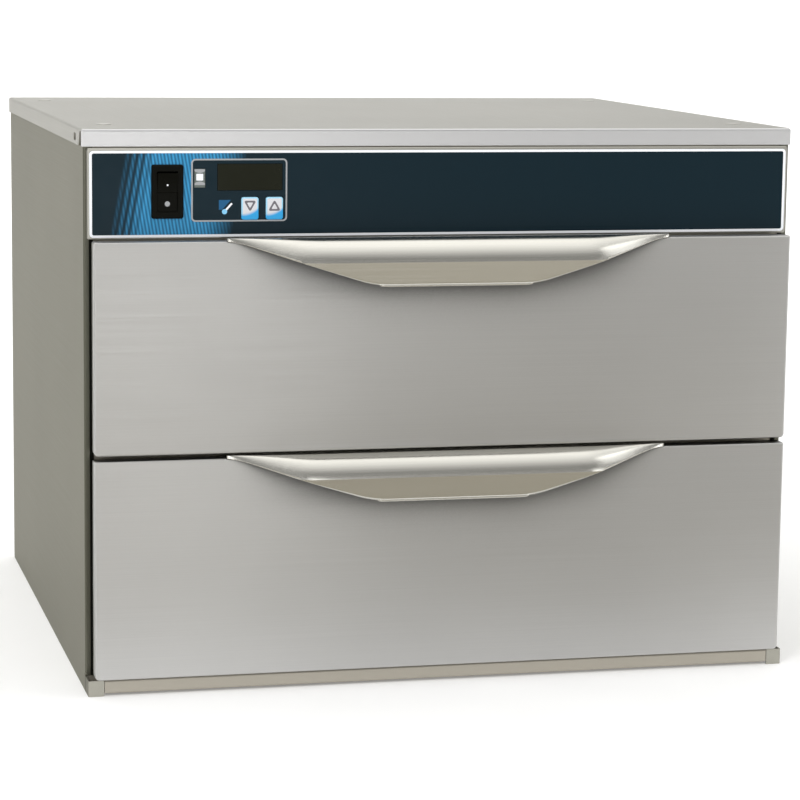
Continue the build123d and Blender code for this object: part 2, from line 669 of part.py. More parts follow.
def make_controller():
    """The thermostat behind the film, with pockets for its window, lamp and keys."""
    front = BEZEL_Y + SEAT
    with BuildPart() as body:
        with BuildSketch(facing_front(front)):
            with Locations((CONTROLLER_X, CONTROL_Z)):
                Rectangle(*CONTROLLER)
        extrude(amount=-CONTROLLER_DEPTH)
        with BuildSketch(facing_front(BEZEL_Y + SHEET + SEAT)):
            with Locations((CONTROLLER_X, CONTROL_Z)):
                Rectangle(CONTROLLER[0] + CONTROLLER_RIM, CONTROLLER[1] + CONTROLLER_RIM)
        extrude(amount=-CONTROLLER_RIM / 3)
        with BuildSketch(facing_front(front)):
            controller_openings(CUT_CLEARANCE)
        extrude(amount=-WINDOW_DEPTH, mode=Mode.SUBTRACT)
        with BuildSketch(facing_front(front)):
            key_openings(CUT_CLEARANCE)
        extrude(amount=-(KEY_STEM + 2 * KEY_PROUD), mode=Mode.SUBTRACT)
    save(body, "controller_module")

    with BuildPart() as window:
        with BuildSketch(facing_front(front + WINDOW_DEPTH - SEAT)):
            with Locations((CONTROLLER_X + DISPLAY_AT[0], CONTROL_Z + DISPLAY_AT[1])):
                Rectangle(*DISPLAY)
        extrude(amount=front + WINDOW_DEPTH - SEAT - OVERLAY_Y)
    save(window, "display_window")

    with BuildPart() as lens:
        with BuildSketch(facing_front(front + WINDOW_DEPTH - SEAT)):
            with Locations((CONTROLLER_X + LAMP_AT[0], CONTROL_Z + LAMP_AT[1])):
                Rectangle(*LAMP)
        extrude(amount=front + WINDOW_DEPTH - SEAT - OVERLAY_Y)
    save(lens, "indicator_lens")

    for name, (x, z) in KEYS_AT.items():
        with BuildPart() as key:
            with BuildSketch(facing_front(front + KEY_STEM)):
                with Locations((CONTROLLER_X + x, CONTROL_Z + z)):
                    RectangleRounded(*KEY, KEY_CORNER)
            extrude(amount=front + KEY_STEM - OVERLAY_Y + KEY_PROUD)
        save(key, name)


def make_switch():
    """The power switch: a flanged housing and a rocker on a pin through its sides."""
    width, height = ROCKER
    centre = (SWITCH_X, OVERLAY_Y, CONTROL_Z)
    pivot = Plane(origin=centre, x_dir=(0, 1, 0), z_dir=(1, 0, 0))
    lean = radians(ROCKER_TILT)
    tilted = Plane(origin=centre, x_dir=(0, cos(lean), sin(lean)), z_dir=(1, 0, 0))
    pin_reach = width / 2 + ROCKER_PIN
    with BuildPart() as housing:
        with BuildSketch(facing_front(OVERLAY_Y)):
            with Locations((SWITCH_X, CONTROL_Z)):
                RectangleRounded(*SWITCH_FLANGE, SWITCH_CORNER)
        extrude(amount=SWITCH_FLANGE_DEPTH)
        chamfer(housing.faces().sort_by(Axis.Y)[0].edges(), SWITCH_FLANGE_DEPTH / 2)
        with BuildSketch(facing_front(OVERLAY_Y)):
            with Locations((SWITCH_X, CONTROL_Z)):
                Rectangle(*SWITCH_BODY)
        extrude(amount=-SWITCH_DEPTH)
        with BuildSketch(facing_front(OVERLAY_Y - SWITCH_FLANGE_DEPTH)):
            with Locations((SWITCH_X, CONTROL_Z)):
                Rectangle(width + 2 * CUT_CLEARANCE, height + 3 * CUT_CLEARANCE)
        extrude(amount=-ROCKER_POCKET, mode=Mode.SUBTRACT)
        with BuildSketch(pivot):
            Circle(ROCKER_PIN / 2 + PIN_CLEARANCE)
        extrude(amount=pin_reach + RUN, both=True, mode=Mode.SUBTRACT)
    save(housing, "switch_housing")

    with BuildPart() as rocker:
        with BuildSketch(tilted):
            with BuildLine():
                tip = height / 2 - SEAT
                crest = ThreePointArc((-ROCKER_PROUD, tip), (-ROCKER_DIP, 0), (-ROCKER_PROUD, -tip))
                heel = height / 2 - ROCKER_TOE
                Polyline(crest @ 1, (ROCKER_HEEL, -heel), (ROCKER_HEEL, heel), crest @ 0)
            make_face()
        extrude(amount=width / 2, both=True)
        with BuildSketch(pivot):
            Circle(ROCKER_PIN / 2)
        extrude(amount=pin_reach, both=True)
    save(rocker, "rocker_switch")


def make_slide(name, bay):
    """The roller slides of one drawer: cabinet channels, drawer runners and two pairs of rollers."""
    wall = BAY_WIDTH / 2
    foot = bay + CHANNEL_LEVEL
    top = foot + CHANNEL_INSIDE + 2 * SLIDE_SHEET
    web_x = wall - SEAT
    lip_x = web_x - CHANNEL_FLANGE
    lip = SLIDE_SHEET + CHANNEL_LIP
    section = [(lip_x, foot + lip), (lip_x, foot), (web_x, foot)]
    section += [(web_x, top), (lip_x, top), (lip_x, top - lip)]
    roller_level = bay + FRONT_ROLLER_LEVEL
    inside_x = web_x - SLIDE_SHEET
    with BuildPart() as channel:
        with BuildSketch(facing_front(CHANNEL_Y)):
            bent_strip(section, 0, SLIDE_SHEET, Side.LEFT)
        extrude(amount=-CHANNEL_LENGTH)
        roller_room = (CHANNEL_Y - SLIDE_SHEET, FRONT_ROLLER_Y + ROLLER_RADIUS + SLIDE_SHEET)
        lip_room = (top - lip - SLIDE_SHEET, top + SLIDE_SHEET)
        block((lip_x - SLIDE_SHEET, inside_x), roller_room, lip_room, mode=Mode.SUBTRACT)
        with BuildSketch(facing_side(lip_x)):
            with Locations((FRONT_ROLLER_Y, roller_level)):
                Circle(ROLLER_STUD / 2)
        extrude(amount=inside_x - lip_x)
    save(channel, f"{name}_right_channel")
    with BuildPart() as left_channel:
        mirror(channel.part, about=Plane.YZ)
    save(left_channel, f"{name}_left_channel")

    level = bay + RUNNER_LEVEL
    stud_level = bay + REAR_ROLLER_LEVEL
    runner_foot = stud_level - ROLLER_STUD
    section = [(ROLLER_X, level), (RUNNER_X, level), (RUNNER_X, runner_foot)]
    with BuildPart() as runner:
        with BuildSketch(facing_front(FRAME_FRONT_Y)):
            bent_strip(section, 0, SLIDE_SHEET, Side.RIGHT)
        extrude(amount=-FRAME_DEPTH)
        with BuildSketch(facing_side(RUNNER_X)):
            with Locations((REAR_ROLLER_Y, stud_level)):
                Circle(ROLLER_STUD / 2)
        extrude(amount=ROLLER_X - RUNNER_X - SEAT)
    save(runner, f"{name}_right_runner")
    with BuildPart() as left_runner:
        mirror(runner.part, about=Plane.YZ)
    save(left_runner, f"{name}_left_runner")

    places = {"front_rollers": (FRONT_ROLLER_Y, roller_level), "rear_rollers": (REAR_ROLLER_Y, stud_level)}
    for place, axle in places.items():
        with BuildPart() as rollers:
            with BuildSketch(facing_side(ROLLER_X - ROLLER_WIDTH)):
                with Locations(axle):
                    Circle(ROLLER_RADIUS)
                    Circle(ROLLER_BORE / 2, mode=Mode.SUBTRACT)
            extrude(amount=ROLLER_WIDTH)
            mirror(about=Plane.YZ)
        save(rollers, f"{name}_{place}")


def make_drawer_front(name, foot, top):
    """The drawer's front: an outer skin, an inner backing and the insulation between them."""
    height = top - foot
    middle = (top + foot) / 2
    with BuildPart() as face:
        with BuildSketch(facing_front(FACE_Y + FACE_RETURN)):
            with Locations((0, middle)):
                RectangleRounded(2 * FACE_HALF, height, FACE_CORNER)
        extrude(amount=FACE_RETURN)
        chamfer(face.faces().sort_by(Axis.Y)[0].edges(), FACE_EDGE)
        with BuildSketch(facing_front(FACE_Y + FACE_RETURN)):
            with Locations((0, middle)):
                RectangleRounded(2 * (FACE_HALF - SHEET), height - 2 * SHEET, FACE_CORNER - SHEET)
        extrude(amount=FACE_RETURN - SHEET, mode=Mode.SUBTRACT)
    save(face, f"{name}_drawer_face")

    backing_half = FACE_HALF - BACKING_INSET
    backing_depth = DRAWER_BACK_Y - FACE_Y - SHEET - SEAT
    with BuildPart() as backing:
        with BuildSketch(facing_front(DRAWER_BACK_Y)):
            with Locations((0, middle)):
                Rectangle(2 * backing_half, height - 2 * BACKING_RIM)
        extrude(amount=backing_depth)
        offset(amount=-SHEET, openings=backing.faces().sort_by(Axis.Y)[0])
    save(backing, f"{name}_drawer_backing")

    room = SHEET + SEAT
    with BuildPart() as filling:
        with BuildSketch(facing_front(DRAWER_BACK_Y - room)):
            with Locations((0, middle)):
                Rectangle(2 * (backing_half - room), height - 2 * (BACKING_RIM + room))
        extrude(amount=backing_depth - room)
    save(filling, f"{name}_drawer_insulation")


def pull_section(inset, top, foot):
    """Half of the pull's outline seen from its end: crest, rounded bend and flared skirt."""
    crest_y = FACE_Y - PULL_CREST
    skirt_y = crest_y - PULL_BEND + inset
    skirt_top = top - PULL_BEND
    hem_y = FACE_Y - PULL_PROUD + inset
    rear = FACE_Y + PULL_REACH + inset
    with BuildLine() as outline:
        Line((rear, top - inset), (crest_y, top - inset))
        RadiusArc((crest_y, top - inset), (skirt_y, skirt_top), inset - PULL_BEND)
        Polyline((skirt_y, skirt_top), (hem_y, foot), (rear, foot), (rear, top - inset))
    make_face(outline.edges())


def pull_plan(inset):
    """The pull seen from above: its ends fold back to the drawer front at a slant."""
    fold = atan2(PULL_PROUD, PULL_HALF_TOP - PULL_HALF_FLAT)
    tip = PULL_HALF_TOP - inset / sin(fold)
    front = PULL_PROUD + PULL_HEM
    shoulder = tip - front / PULL_PROUD * (PULL_HALF_TOP - PULL_HALF_FLAT)
    rear = FACE_Y + PULL_REACH + inset
    with BuildLine() as outline:
        wing = [(-tip, rear), (-tip, FACE_Y), (-shoulder, FACE_Y - front)]
        Polyline(*wing, *[(-x, y) for x, y in reversed(wing)], close=True)
    make_face(outline.edges())


def make_pull(name, top):
    """The formed hood at the top of a drawer front, open below for the fingers."""
    crest = top + SEAT + PULL_GAUGE
    foot = crest - PULL_DROP
    half = PULL_HALF_TOP + PULL_SWEEP
    shelf = crest - PULL_GAUGE
    edge_line = [(-half, shelf), (PULL_EDGE_START - PULL_HALF_TOP, shelf), (-PULL_HALF_FOOT, foot)]
    edge_line += [(-x, z) for x, z in reversed(edge_line)]
    with BuildPart() as cavity:
        with BuildSketch(facing_side(0)):
            pull_section(PULL_GAUGE, crest, foot - PULL_GAUGE)
        extrude(amount=half, both=True)
        with BuildSketch(Plane.XY.offset(foot - PULL_DROP)) as plan:
            pull_plan(PULL_GAUGE)
            fillet(plan.vertices().group_by(Axis.Y)[0], PULL_FOLD - PULL_GAUGE)
        extrude(amount=3 * PULL_DROP, mode=Mode.INTERSECT)
    with BuildPart() as pull:
        with BuildSketch(facing_side(0)):
            pull_section(0, crest, foot)
        extrude(amount=half, both=True)
        with BuildSketch(Plane.XY.offset(foot - PULL_DROP)) as plan:
            pull_plan(0)
            fillet(plan.vertices().group_by(Axis.Y)[0], PULL_FOLD)
        extrude(amount=3 * PULL_DROP, mode=Mode.INTERSECT)
        add(cavity.part, mode=Mode.SUBTRACT)
        behind_face = (FACE_Y - SEAT, FACE_Y + 2 * PULL_REACH)
        block((-half, half), behind_face, (foot - PULL_DROP, shelf), mode=Mode.SUBTRACT)
        with BuildSketch(facing_front(FACE_Y + half)):
            with BuildLine():
                edge = FilletPolyline(*edge_line, radius=PULL_SWEEP)
                Polyline(edge @ 1, (half, crest), (-half, crest), edge @ 0)
            make_face()
        extrude(amount=2 * half, mode=Mode.INTERSECT)
        with BuildSketch(facing_side(-PULL_HALF_FOOT)):
            with Locations((FACE_Y - PULL_PROUD + PULL_HEM / 2, foot + PULL_HEM / 4)):
                Circle(PULL_HEM / 2)
        extrude(amount=2 * PULL_HALF_FOOT)
    save(pull, f"{name}_pull")


def make_pan_frame(name, level):
    """The carrying frame behind a drawer front, with a rounded opening for the pan."""
    middle = FRAME_FRONT_Y + FRAME_DEPTH / 2
    pan_middle = FRAME_FRONT_Y + PAN_FROM_DOOR + PAN_WIDTH / 2
    inside_rim = 2 * (PAN_RIM - PAN_SEAT)
    with BuildPart() as frame:
        with BuildSketch(Plane.XY.offset(level)):
            with Locations((0, middle)):
                Rectangle(2 * FRAME_HALF, FRAME_DEPTH)
        extrude(amount=-FRAME_SKIRT)
        offset(amount=-SHEET, openings=frame.faces().sort_by(Axis.Z)[0])
        with BuildSketch(Plane.XY.offset(level)):
            with Locations((0, pan_middle)):
                RectangleRounded(PAN_LENGTH - inside_rim, PAN_WIDTH - inside_rim, PAN_CORNER)
        extrude(amount=-2 * SHEET, mode=Mode.SUBTRACT)
    save(frame, f"{name}_pan_frame")


def make_pan(name, level):
    """The full-size food pan: tapered walls, bevelled foot and a flat rim on the frame."""
    middle = FRAME_FRONT_Y + PAN_FROM_DOOR + PAN_WIDTH / 2
    length = PAN_LENGTH - 2 * PAN_RIM
    width = PAN_WIDTH - 2 * PAN_RIM
    rim_top = level + SEAT + PAN_WALL
    with BuildPart() as well:
        with BuildSketch(Plane.XY.offset(rim_top)):
            with Locations((0, middle)):
                RectangleRounded(length - 2 * PAN_WALL, width - 2 * PAN_WALL, PAN_CORNER - PAN_WALL)
        extrude(amount=PAN_WALL - PAN_DEPTH, taper=PAN_TAPER)
        chamfer(well.faces().sort_by(Axis.Z)[0].edges(), PAN_FOOT - PAN_WALL / 2)
    with BuildPart() as pan:
        with BuildSketch(Plane.XY.offset(rim_top)):
            with Locations((0, middle)):
                RectangleRounded(length, width, PAN_CORNER)
        extrude(amount=-PAN_DEPTH, taper=PAN_TAPER)
        chamfer(pan.faces().sort_by(Axis.Z)[0].edges(), PAN_FOOT)
        with BuildSketch(Plane.XY.offset(rim_top)):
            with Locations((0, middle)):
                RectangleRounded(PAN_LENGTH, PAN_WIDTH, PAN_CORNER + PAN_RIM)
        extrude(amount=-PAN_WALL)
        add(well.part, mode=Mode.SUBTRACT)
    save(pan, f"{name}_pan")


make_cover()
make_cover_plugs()
make_side_panel(-1, "left_side_panel")
make_side_panel(1, "right_side_panel")
make_base_pan()
make_front_sill()
make_front_frame()
make_back_panel()
make_back_screws()
make_gland()
make_insulation()
make_electrics()
make_bezel()
make_overlay()
make_controller()
make_switch()
for drawer_name, drawer in DRAWERS.items():
    pan_level = drawer["bay"] + FRAME_LEVEL
    make_liner(drawer_name, drawer["bay"])
    make_heating_cable(drawer_name, drawer["bay"])
    make_slide(drawer_name, drawer["bay"])
    make_drawer_front(drawer_name, drawer["foot"], drawer["top"])
    make_pull(drawer_name, drawer["top"])
    make_pan_frame(drawer_name, pan_level)
    make_pan(drawer_name, pan_level)
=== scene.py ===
"""Countertop warming drawer: the steel, print and small parts that dress the solid model.

Lengths are millimetres in the cabinet's own frame, with +Z up and the drawers facing -Y. They
become metres, by MM, where a mesh is made or a shader reads them. Colours are linear.
"""

import json
from math import asin, cos, pi, radians, sin, sqrt, tan

import bmesh
import bpy
import numpy as np
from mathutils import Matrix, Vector


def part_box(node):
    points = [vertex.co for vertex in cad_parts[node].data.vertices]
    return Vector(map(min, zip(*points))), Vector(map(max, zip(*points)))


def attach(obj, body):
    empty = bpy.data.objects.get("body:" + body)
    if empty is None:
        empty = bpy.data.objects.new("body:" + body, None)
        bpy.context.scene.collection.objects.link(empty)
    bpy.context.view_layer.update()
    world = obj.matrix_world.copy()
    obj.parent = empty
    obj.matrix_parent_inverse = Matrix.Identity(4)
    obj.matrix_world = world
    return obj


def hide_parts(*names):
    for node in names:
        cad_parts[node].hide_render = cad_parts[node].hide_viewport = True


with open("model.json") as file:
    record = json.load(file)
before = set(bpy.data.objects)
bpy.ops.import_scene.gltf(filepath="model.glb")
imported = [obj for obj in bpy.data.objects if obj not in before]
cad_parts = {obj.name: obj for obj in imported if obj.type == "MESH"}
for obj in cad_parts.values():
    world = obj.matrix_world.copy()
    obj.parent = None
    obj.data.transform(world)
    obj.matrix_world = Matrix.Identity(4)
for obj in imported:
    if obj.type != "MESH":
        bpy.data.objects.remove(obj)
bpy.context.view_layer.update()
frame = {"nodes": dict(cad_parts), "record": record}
nodes = frame["nodes"]

MM = 0.001


def mm_box(node):
    """A CAD node's lowest and highest corners in millimetres."""
    low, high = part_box(node)
    return np.array(low) / MM, np.array(high) / MM


def mm_middle(node):
    """The middle of a CAD node's box in millimetres."""
    low, high = mm_box(node)
    return (low + high) / 2


DRAWERS = ("lower", "upper")
# Planes and places of the cabinet that the new pieces sit on, read from the frame
FACE_Y = mm_box("lower_drawer_face")[0][1]
FILM_Y, FILM_FOOT = mm_box("control_overlay")[0][1:]
FILM_HALF, _, FILM_TOP = mm_box("control_overlay")[1]
THERMOSTAT_X, _, CONTROL_Z = mm_middle("controller_module")
SWITCH_X = mm_middle("switch_housing")[0]
COVER_TOP = mm_box("top_cover")[1][2]
BACK_Y = mm_box("back_panel")[1][1]

# The thermostat's printed frame: its outer half sizes, its line and its place above the module
PANEL_HALF_X, PANEL_HALF_Z, PANEL_LINE = 40.8, 26.3, 1.3
PANEL_Z = CONTROL_Z + 0.9


# ---------------------------------------------------------------- shapes


def rounded_outline(half_u, half_v, radius, foot_radius=None, steps=8):
    """A rounded rectangle, counter-clockwise: four quarter circles of steps chords each.

    Its two lower corners may have a radius of their own.
    """
    foot_radius = radius if foot_radius is None else foot_radius
    start = np.arange(4)[:, None] * pi / 2
    angle = (start + np.linspace(0, pi / 2, steps + 1)).ravel()
    unit = np.stack([np.cos(angle), np.sin(angle)], 1)
    corner = np.maximum([radius, radius, foot_radius, foot_radius], 0.01)
    corner = np.repeat(corner, steps + 1)[:, None]
    way = np.repeat([(1, 1), (-1, 1), (-1, -1), (1, -1)], steps + 1, axis=0)
    return unit * corner + way * ((half_u, half_v) - corner)


def circle_outline(radius, steps=48):
    """A circle of steps chords, counter-clockwise."""
    angle = np.linspace(0, 2 * pi, steps, endpoint=False)
    return np.stack([np.cos(angle), np.sin(angle)], 1) * radius


def polygon_outline(corners, radius, steps=6):
    """A closed polygon, counter-clockwise, whose corners are rounded by quadratic arcs."""
    corners = np.array(corners, float)
    into = np.roll(corners, 1, 0) - corners
    out = np.roll(corners, -1, 0) - corners
    into = into / np.linalg.norm(into, axis=1)[:, None] * radius
    out = out / np.linalg.norm(out, axis=1)[:, None] * radius
    t = np.linspace(0, 1, steps + 1)[None, :, None]
    start, mid, end = (corners + into)[:, None], corners[:, None], (corners + out)[:, None]
    return ((1 - t) ** 2 * start + 2 * t * (1 - t) * mid + t * t * end).reshape(-1, 2)


def hexagon_outline(radius, rounding=1.2):
    """A hexagon whose corners lie on a circle of that radius and are rounded."""
    angle = np.arange(6) * pi / 3
    return polygon_outline(np.stack([np.cos(angle), np.sin(angle)], 1) * radius, rounding)


def facing(points, origin, way):
    """Points (u, v, w) set at origin with w towards the front, back, top or right."""
    u, v, w = np.moveaxis(np.asarray(points, float), -1, 0)
    x0, y0, z0 = origin
    axes = {
        "front": (x0 + u, y0 - w, z0 + v),
        "back": (x0 - u, y0 + w, z0 + v),
        "top": (x0 + u, y0 + v, z0 + w),
        "right": (x0 + w, y0 + u, z0 + v),
    }
    return np.stack(axes[way], -1)


def stacked(outlines, depths):
    """Rings of the same count, each one outline at its own depth, as an array of rings."""
    pairs = zip(outlines, depths)
    return np.stack([np.column_stack([outline, np.full(len(outline), d)]) for outline, d in pairs])


def ring_faces(rows, count, wrap=False):
    """Quads between neighbouring closed rings, then a flat face over each end ring.

    With wrap the last ring joins the first, and there are no end faces.
    """
    row = np.arange(rows if wrap else rows - 1)[:, None]
    col = np.arange(count)[None, :]
    below, above = row * count, (row + 1) % rows * count
    following = (col + 1) % count
    quads = np.stack([below + col, below + following, above + following, above + col], -1)
    faces = quads.reshape(-1, 4).tolist()
    if not wrap:
        faces.append(np.arange(count)[::-1].tolist())
        faces.append((np.arange(count) + (rows - 1) * count).tolist())
    return faces


def grid_faces(rows, cols, flipped=False):
    """Quads of an open grid of points, row by row; flipped, they face the other way."""
    corner = (np.arange(rows - 1)[:, None] * cols + np.arange(cols - 1)).ravel()
    quads = np.stack([corner, corner + 1, corner + cols + 1, corner + cols], -1)
    return (quads[:, [0, 3, 2, 1]] if flipped else quads).tolist()


def make_piece(name, shells, body, material, stands_for=(), sharp=35, open_sheet=False):
    """One mesh from a list of shells, each (points, faces), riding on a body.

    Doubles are merged, normals made to face outwards unless it is an open sheet, and edges sharper than
    sharp degrees stay crisp.
    """
    points, faces, count = [], [], 0
    for shell_points, shell_faces in shells:
        flat = np.asarray(shell_points, float).reshape(-1, 3)
        points.append(flat)
        faces += [[i + count for i in face] for face in shell_faces]
        count += len(flat)
    mesh = bpy.data.meshes.new(name)
    mesh.from_pydata((np.concatenate(points) * MM).tolist(), [], faces)
    work = bmesh.new()
    work.from_mesh(mesh)
    bmesh.ops.remove_doubles(work, verts=work.verts, dist=1e-7)
    if not open_sheet:
        bmesh.ops.recalc_face_normals(work, faces=work.faces)
    work.to_mesh(mesh)
    work.free()
    mesh.shade_smooth()
    mesh.set_sharp_from_angle(angle=radians(sharp))
    mesh.materials.append(material)
    piece = bpy.data.objects.new(name, mesh)
    bpy.context.scene.collection.objects.link(piece)
    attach(piece, body)
    if stands_for:
        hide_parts(*stands_for)
    return piece


def solid_of_rings(outlines, depths, origin, way):
    """A closed shell: outlines stacked at their depths, capped at both ends."""
    rings = stacked(outlines, depths)
    return facing(rings, origin, way), ring_faces(*rings.shape[:2])


def tube_of_rings(outlines, depths, origin, way):
    """A shell without ends: outlines stacked at their depths, the last joined to the first."""
    rings = stacked(outlines, depths)
    return facing(rings, origin, way), ring_faces(*rings.shape[:2], wrap=True)


def flat_band(outer, inner, low, high, origin, way):
    """A flat ring between two outlines of the same count, from one depth to another."""
    return tube_of_rings([outer, outer, inner, inner], [low, high, high, low], origin, way)


def turned_shell(profile, origin, way, steps=48):
    """A profile of (radius, depth) pairs turned about the axis that way points along."""
    radii, depths = np.array(profile, float).T
    return solid_of_rings([circle_outline(r, steps) for r in radii], depths, origin, way)


def quarter_steps(radius, steps=6):
    """Inset and drop along a quarter round, from its side to its front."""
    angle = np.linspace(0, pi / 2, steps + 1)
    return radius * (1 - np.cos(angle)), radius * np.sin(angle)


# ---------------------------------------------------------------- finishes


def new_finish(name, colour, roughness, metallic=0.0, gloss=0.5):
    """A Principled material whose constants sit on the shader's own sockets."""
    finish = bpy.data.materials.new(name)
    finish.use_nodes = True
    shader = finish.node_tree.nodes["Principled BSDF"]
    shader.inputs["Base Color"].default_value = (*colour, 1)
    shader.inputs["Roughness"].default_value = roughness
    shader.inputs["Metallic"].default_value = metallic
    shader.inputs["Specular IOR Level"].default_value = gloss
    return finish, shader


def add_node(finish, kind, **settings):
    """A node of that kind, with attributes and inputs set by name."""
    node = finish.node_tree.nodes.new(kind)
    for key, value in settings.items():
        if key in node.inputs:
            node.inputs[key].default_value = value
        else:
            setattr(node, key, value)
    return node


def feed(finish, target, value):
    """Link a socket to the socket value, or set it if value is a constant."""
    if isinstance(value, bpy.types.NodeSocket):
        finish.node_tree.links.new(value, target)
    else:
        target.default_value = value


def calculate(finish, operation, *values):
    """The result of one sum, of sockets and numbers."""
    node = add_node(finish, "ShaderNodeMath", operation=operation)
    for target, value in zip(node.inputs, values):
        feed(finish, target, value)
    return node.outputs[0]


def object_axes(finish):
    """The Object coordinates X, Y and Z, in metres."""
    place = add_node(finish, "ShaderNodeTexCoord")
    split = add_node(finish, "ShaderNodeSeparateXYZ")
    feed(finish, split.inputs["Vector"], place.outputs["Object"])
    return split.outputs["X"], split.outputs["Y"], split.outputs["Z"]


def object_noise(finish, scale, detail=4.0, roughness=0.5, squeeze=(1, 1, 1)):
    """Noise on Object coordinates, squeezed along each axis."""
    place = add_node(finish, "ShaderNodeTexCoord")
    mapping = add_node(finish, "ShaderNodeMapping", Scale=squeeze)
    noise = add_node(finish, "ShaderNodeTexNoise", Scale=scale, Detail=detail, Roughness=roughness)
    feed(finish, mapping.inputs["Vector"], place.outputs["Object"])
    feed(finish, noise.inputs["Vector"], mapping.outputs["Vector"])
    return noise.outputs["Fac"]


def ranged(finish, source, low, high, start=0.3, stop=0.7):
    """A value between low and high as source goes from start to stop."""
    step = add_node(finish, "ShaderNodeMapRange")
    for key, value in zip(("From Min", "From Max", "To Min", "To Max"), (start, stop, low, high)):
        step.inputs[key].default_value = value
    feed(finish, step.inputs["Value"], source)
    return step.outputs["Result"]


def colour_between(finish, factor, first, second):
    """A colour from first to second by factor; first may be a socket."""
    mix = add_node(finish, "ShaderNodeMix", data_type="RGBA")
    colours = {socket.name: socket for socket in mix.inputs if socket.type == "RGBA"}
    feed(finish, colours["A"], first if isinstance(first, bpy.types.NodeSocket) else (*first, 1))
    feed(finish, colours["B"], (*second, 1))
    feed(finish, mix.inputs[0], factor)
    return next(socket for socket in mix.outputs if socket.type == "RGBA")


def raised(finish, shader, height, strength, distance):
    """Bump on the shader from a height."""
    bump = add_node(finish, "ShaderNodeBump", Strength=strength, Distance=distance)
    feed(finish, bump.inputs["Height"], height)
    feed(finish, shader.inputs["Normal"], bump.outputs["Normal"])


def brushed_steel(name, colour, roughness, grain, depth=0.05, cloud=0.06, edge=1.0, spread=0.0):
    """Brushed stainless: fine grain lines along one axis, and faint wide clouds in the tone.

    grain is the squeeze of the noise: small along the grain, large across it. edge is how
    bright it is at a glancing angle, and spread is how far it smears light across its grain.
    """
    finish, shader = new_finish(name, colour, roughness, metallic=1.0)
    shader.inputs["Specular Tint"].default_value = (edge, edge, edge * 0.985, 1)
    shader.inputs["Anisotropic"].default_value = spread
    shader.inputs["Anisotropic Rotation"].default_value = 0.25
    lines = object_noise(finish, 1.0, detail=3.0, roughness=0.6, squeeze=grain)
    clouds = object_noise(finish, 5.0, detail=2.0)
    darker = tuple(c * (1 - cloud) for c in colour)
    lighter = tuple(min(1, c * (1 + cloud)) for c in colour)
    tone = calculate(finish, "ADD", ranged(finish, lines, 0, 0.6), ranged(finish, clouds, 0, 0.4))
    feed(finish, shader.inputs["Base Color"], colour_between(finish, tone, darker, lighter))
    rough = ranged(finish, lines, roughness * 0.85, roughness * 1.15)
    feed(finish, shader.inputs["Roughness"], rough)
    raised(finish, shader, lines, depth, 0.0004)
    return finish


def shaded_under(finish, reach, darkest, clear_bands):
    """Darken a finish where a piece stands out over it, within reach millimetres.

    clear_bands are the heights, low and high in millimetres, that stay as they are: there
    the piece stands below, where it takes no light away.
    """
    base = finish.node_tree.nodes["Principled BSDF"].inputs["Base Color"]
    tone = base.links[0].from_socket
    nearness = add_node(finish, "ShaderNodeAmbientOcclusion", Distance=reach * MM, samples=8)
    share = ranged(finish, nearness.outputs["AO"], darkest, 1, 0.42, 0.97)
    _, _, height = object_axes(finish)
    for low, high in clear_bands:
        middle, half = (low + high) / 2 * MM, (high - low) / 2 * MM
        share = calculate(finish, "MAXIMUM", share, calculate(finish, "COMPARE", height, middle, half))
    scale = add_node(finish, "ShaderNodeVectorMath", operation="SCALE")
    feed(finish, scale.inputs[0], tone)
    feed(finish, scale.inputs["Scale"], share)
    feed(finish, base, scale.outputs[0])


def zoned(finish, colour, start, full):
    """Turn a finish to another colour along Y: none of it at start, all of it from full on."""
    base = finish.node_tree.nodes["Principled BSDF"].inputs["Base Color"]
    _, along, _ = object_axes(finish)
    share = ranged(finish, along, 0, 1, start * MM, full * MM)
    feed(finish, base, colour_between(finish, share, base.links[0].from_socket, colour))


def moulded_plastic(name, colour, roughness, pit=0.08):
    """Moulded plastic: a fine pitted skin."""
    finish, shader = new_finish(name, colour, roughness, gloss=0.1)
    pits = object_noise(finish, 2500.0, detail=2.0)
    rough = ranged(finish, pits, roughness * 0.85, min(1, roughness * 1.15))
    feed(finish, shader.inputs["Roughness"], rough)
    raised(finish, shader, pits, pit, 0.0002)
    return finish


def enamel(name, colour, roughness=0.4):
    """Printed ink: an even colour with a faint unevenness in its gloss."""
    finish, shader = new_finish(name, colour, roughness, gloss=0.12)
    drift = object_noise(finish, 60.0)
    rough = ranged(finish, drift, roughness * 0.9, roughness * 1.1)
    feed(finish, shader.inputs["Roughness"], rough)
    return finish


def glass_wool(name, colour):
    """Insulation blanket: matted fibres in two sizes."""
    finish, shader = new_finish(name, colour, 0.95)
    fibres = object_noise(finish, 220.0, detail=8.0, roughness=0.7)
    darker = tuple(c * 0.7 for c in colour)
    tone = colour_between(finish, ranged(finish, fibres, 0, 1), darker, colour)
    feed(finish, shader.inputs["Base Color"], tone)
    raised(finish, shader, fibres, 0.6, 0.004)
    return finish


NAVY, STRIPE_BLUE = (0.003, 0.015, 0.023), (0.045, 0.31, 0.60)
# The film's stripes, and a finer set that leans the other way: how far x moves for each
# step up, and the distance from one stripe to the next
STRIPE_LEAN, STRIPE_PITCH = -0.194, 5.6
WEAVE_LEAN, WEAVE_PITCH = 0.17, 2.9
# Where the stripes begin, turn to solid blue and fade out, by x + STRIPE_LEAN * z
STRIPES_BEGIN, STRIPES_FULL = -366, -342
SOLID_BEGIN, SOLID_FULL = -350, -338
BLUE_FADES, BLUE_ENDS = -286, -262
PANEL_STOP = 0.7


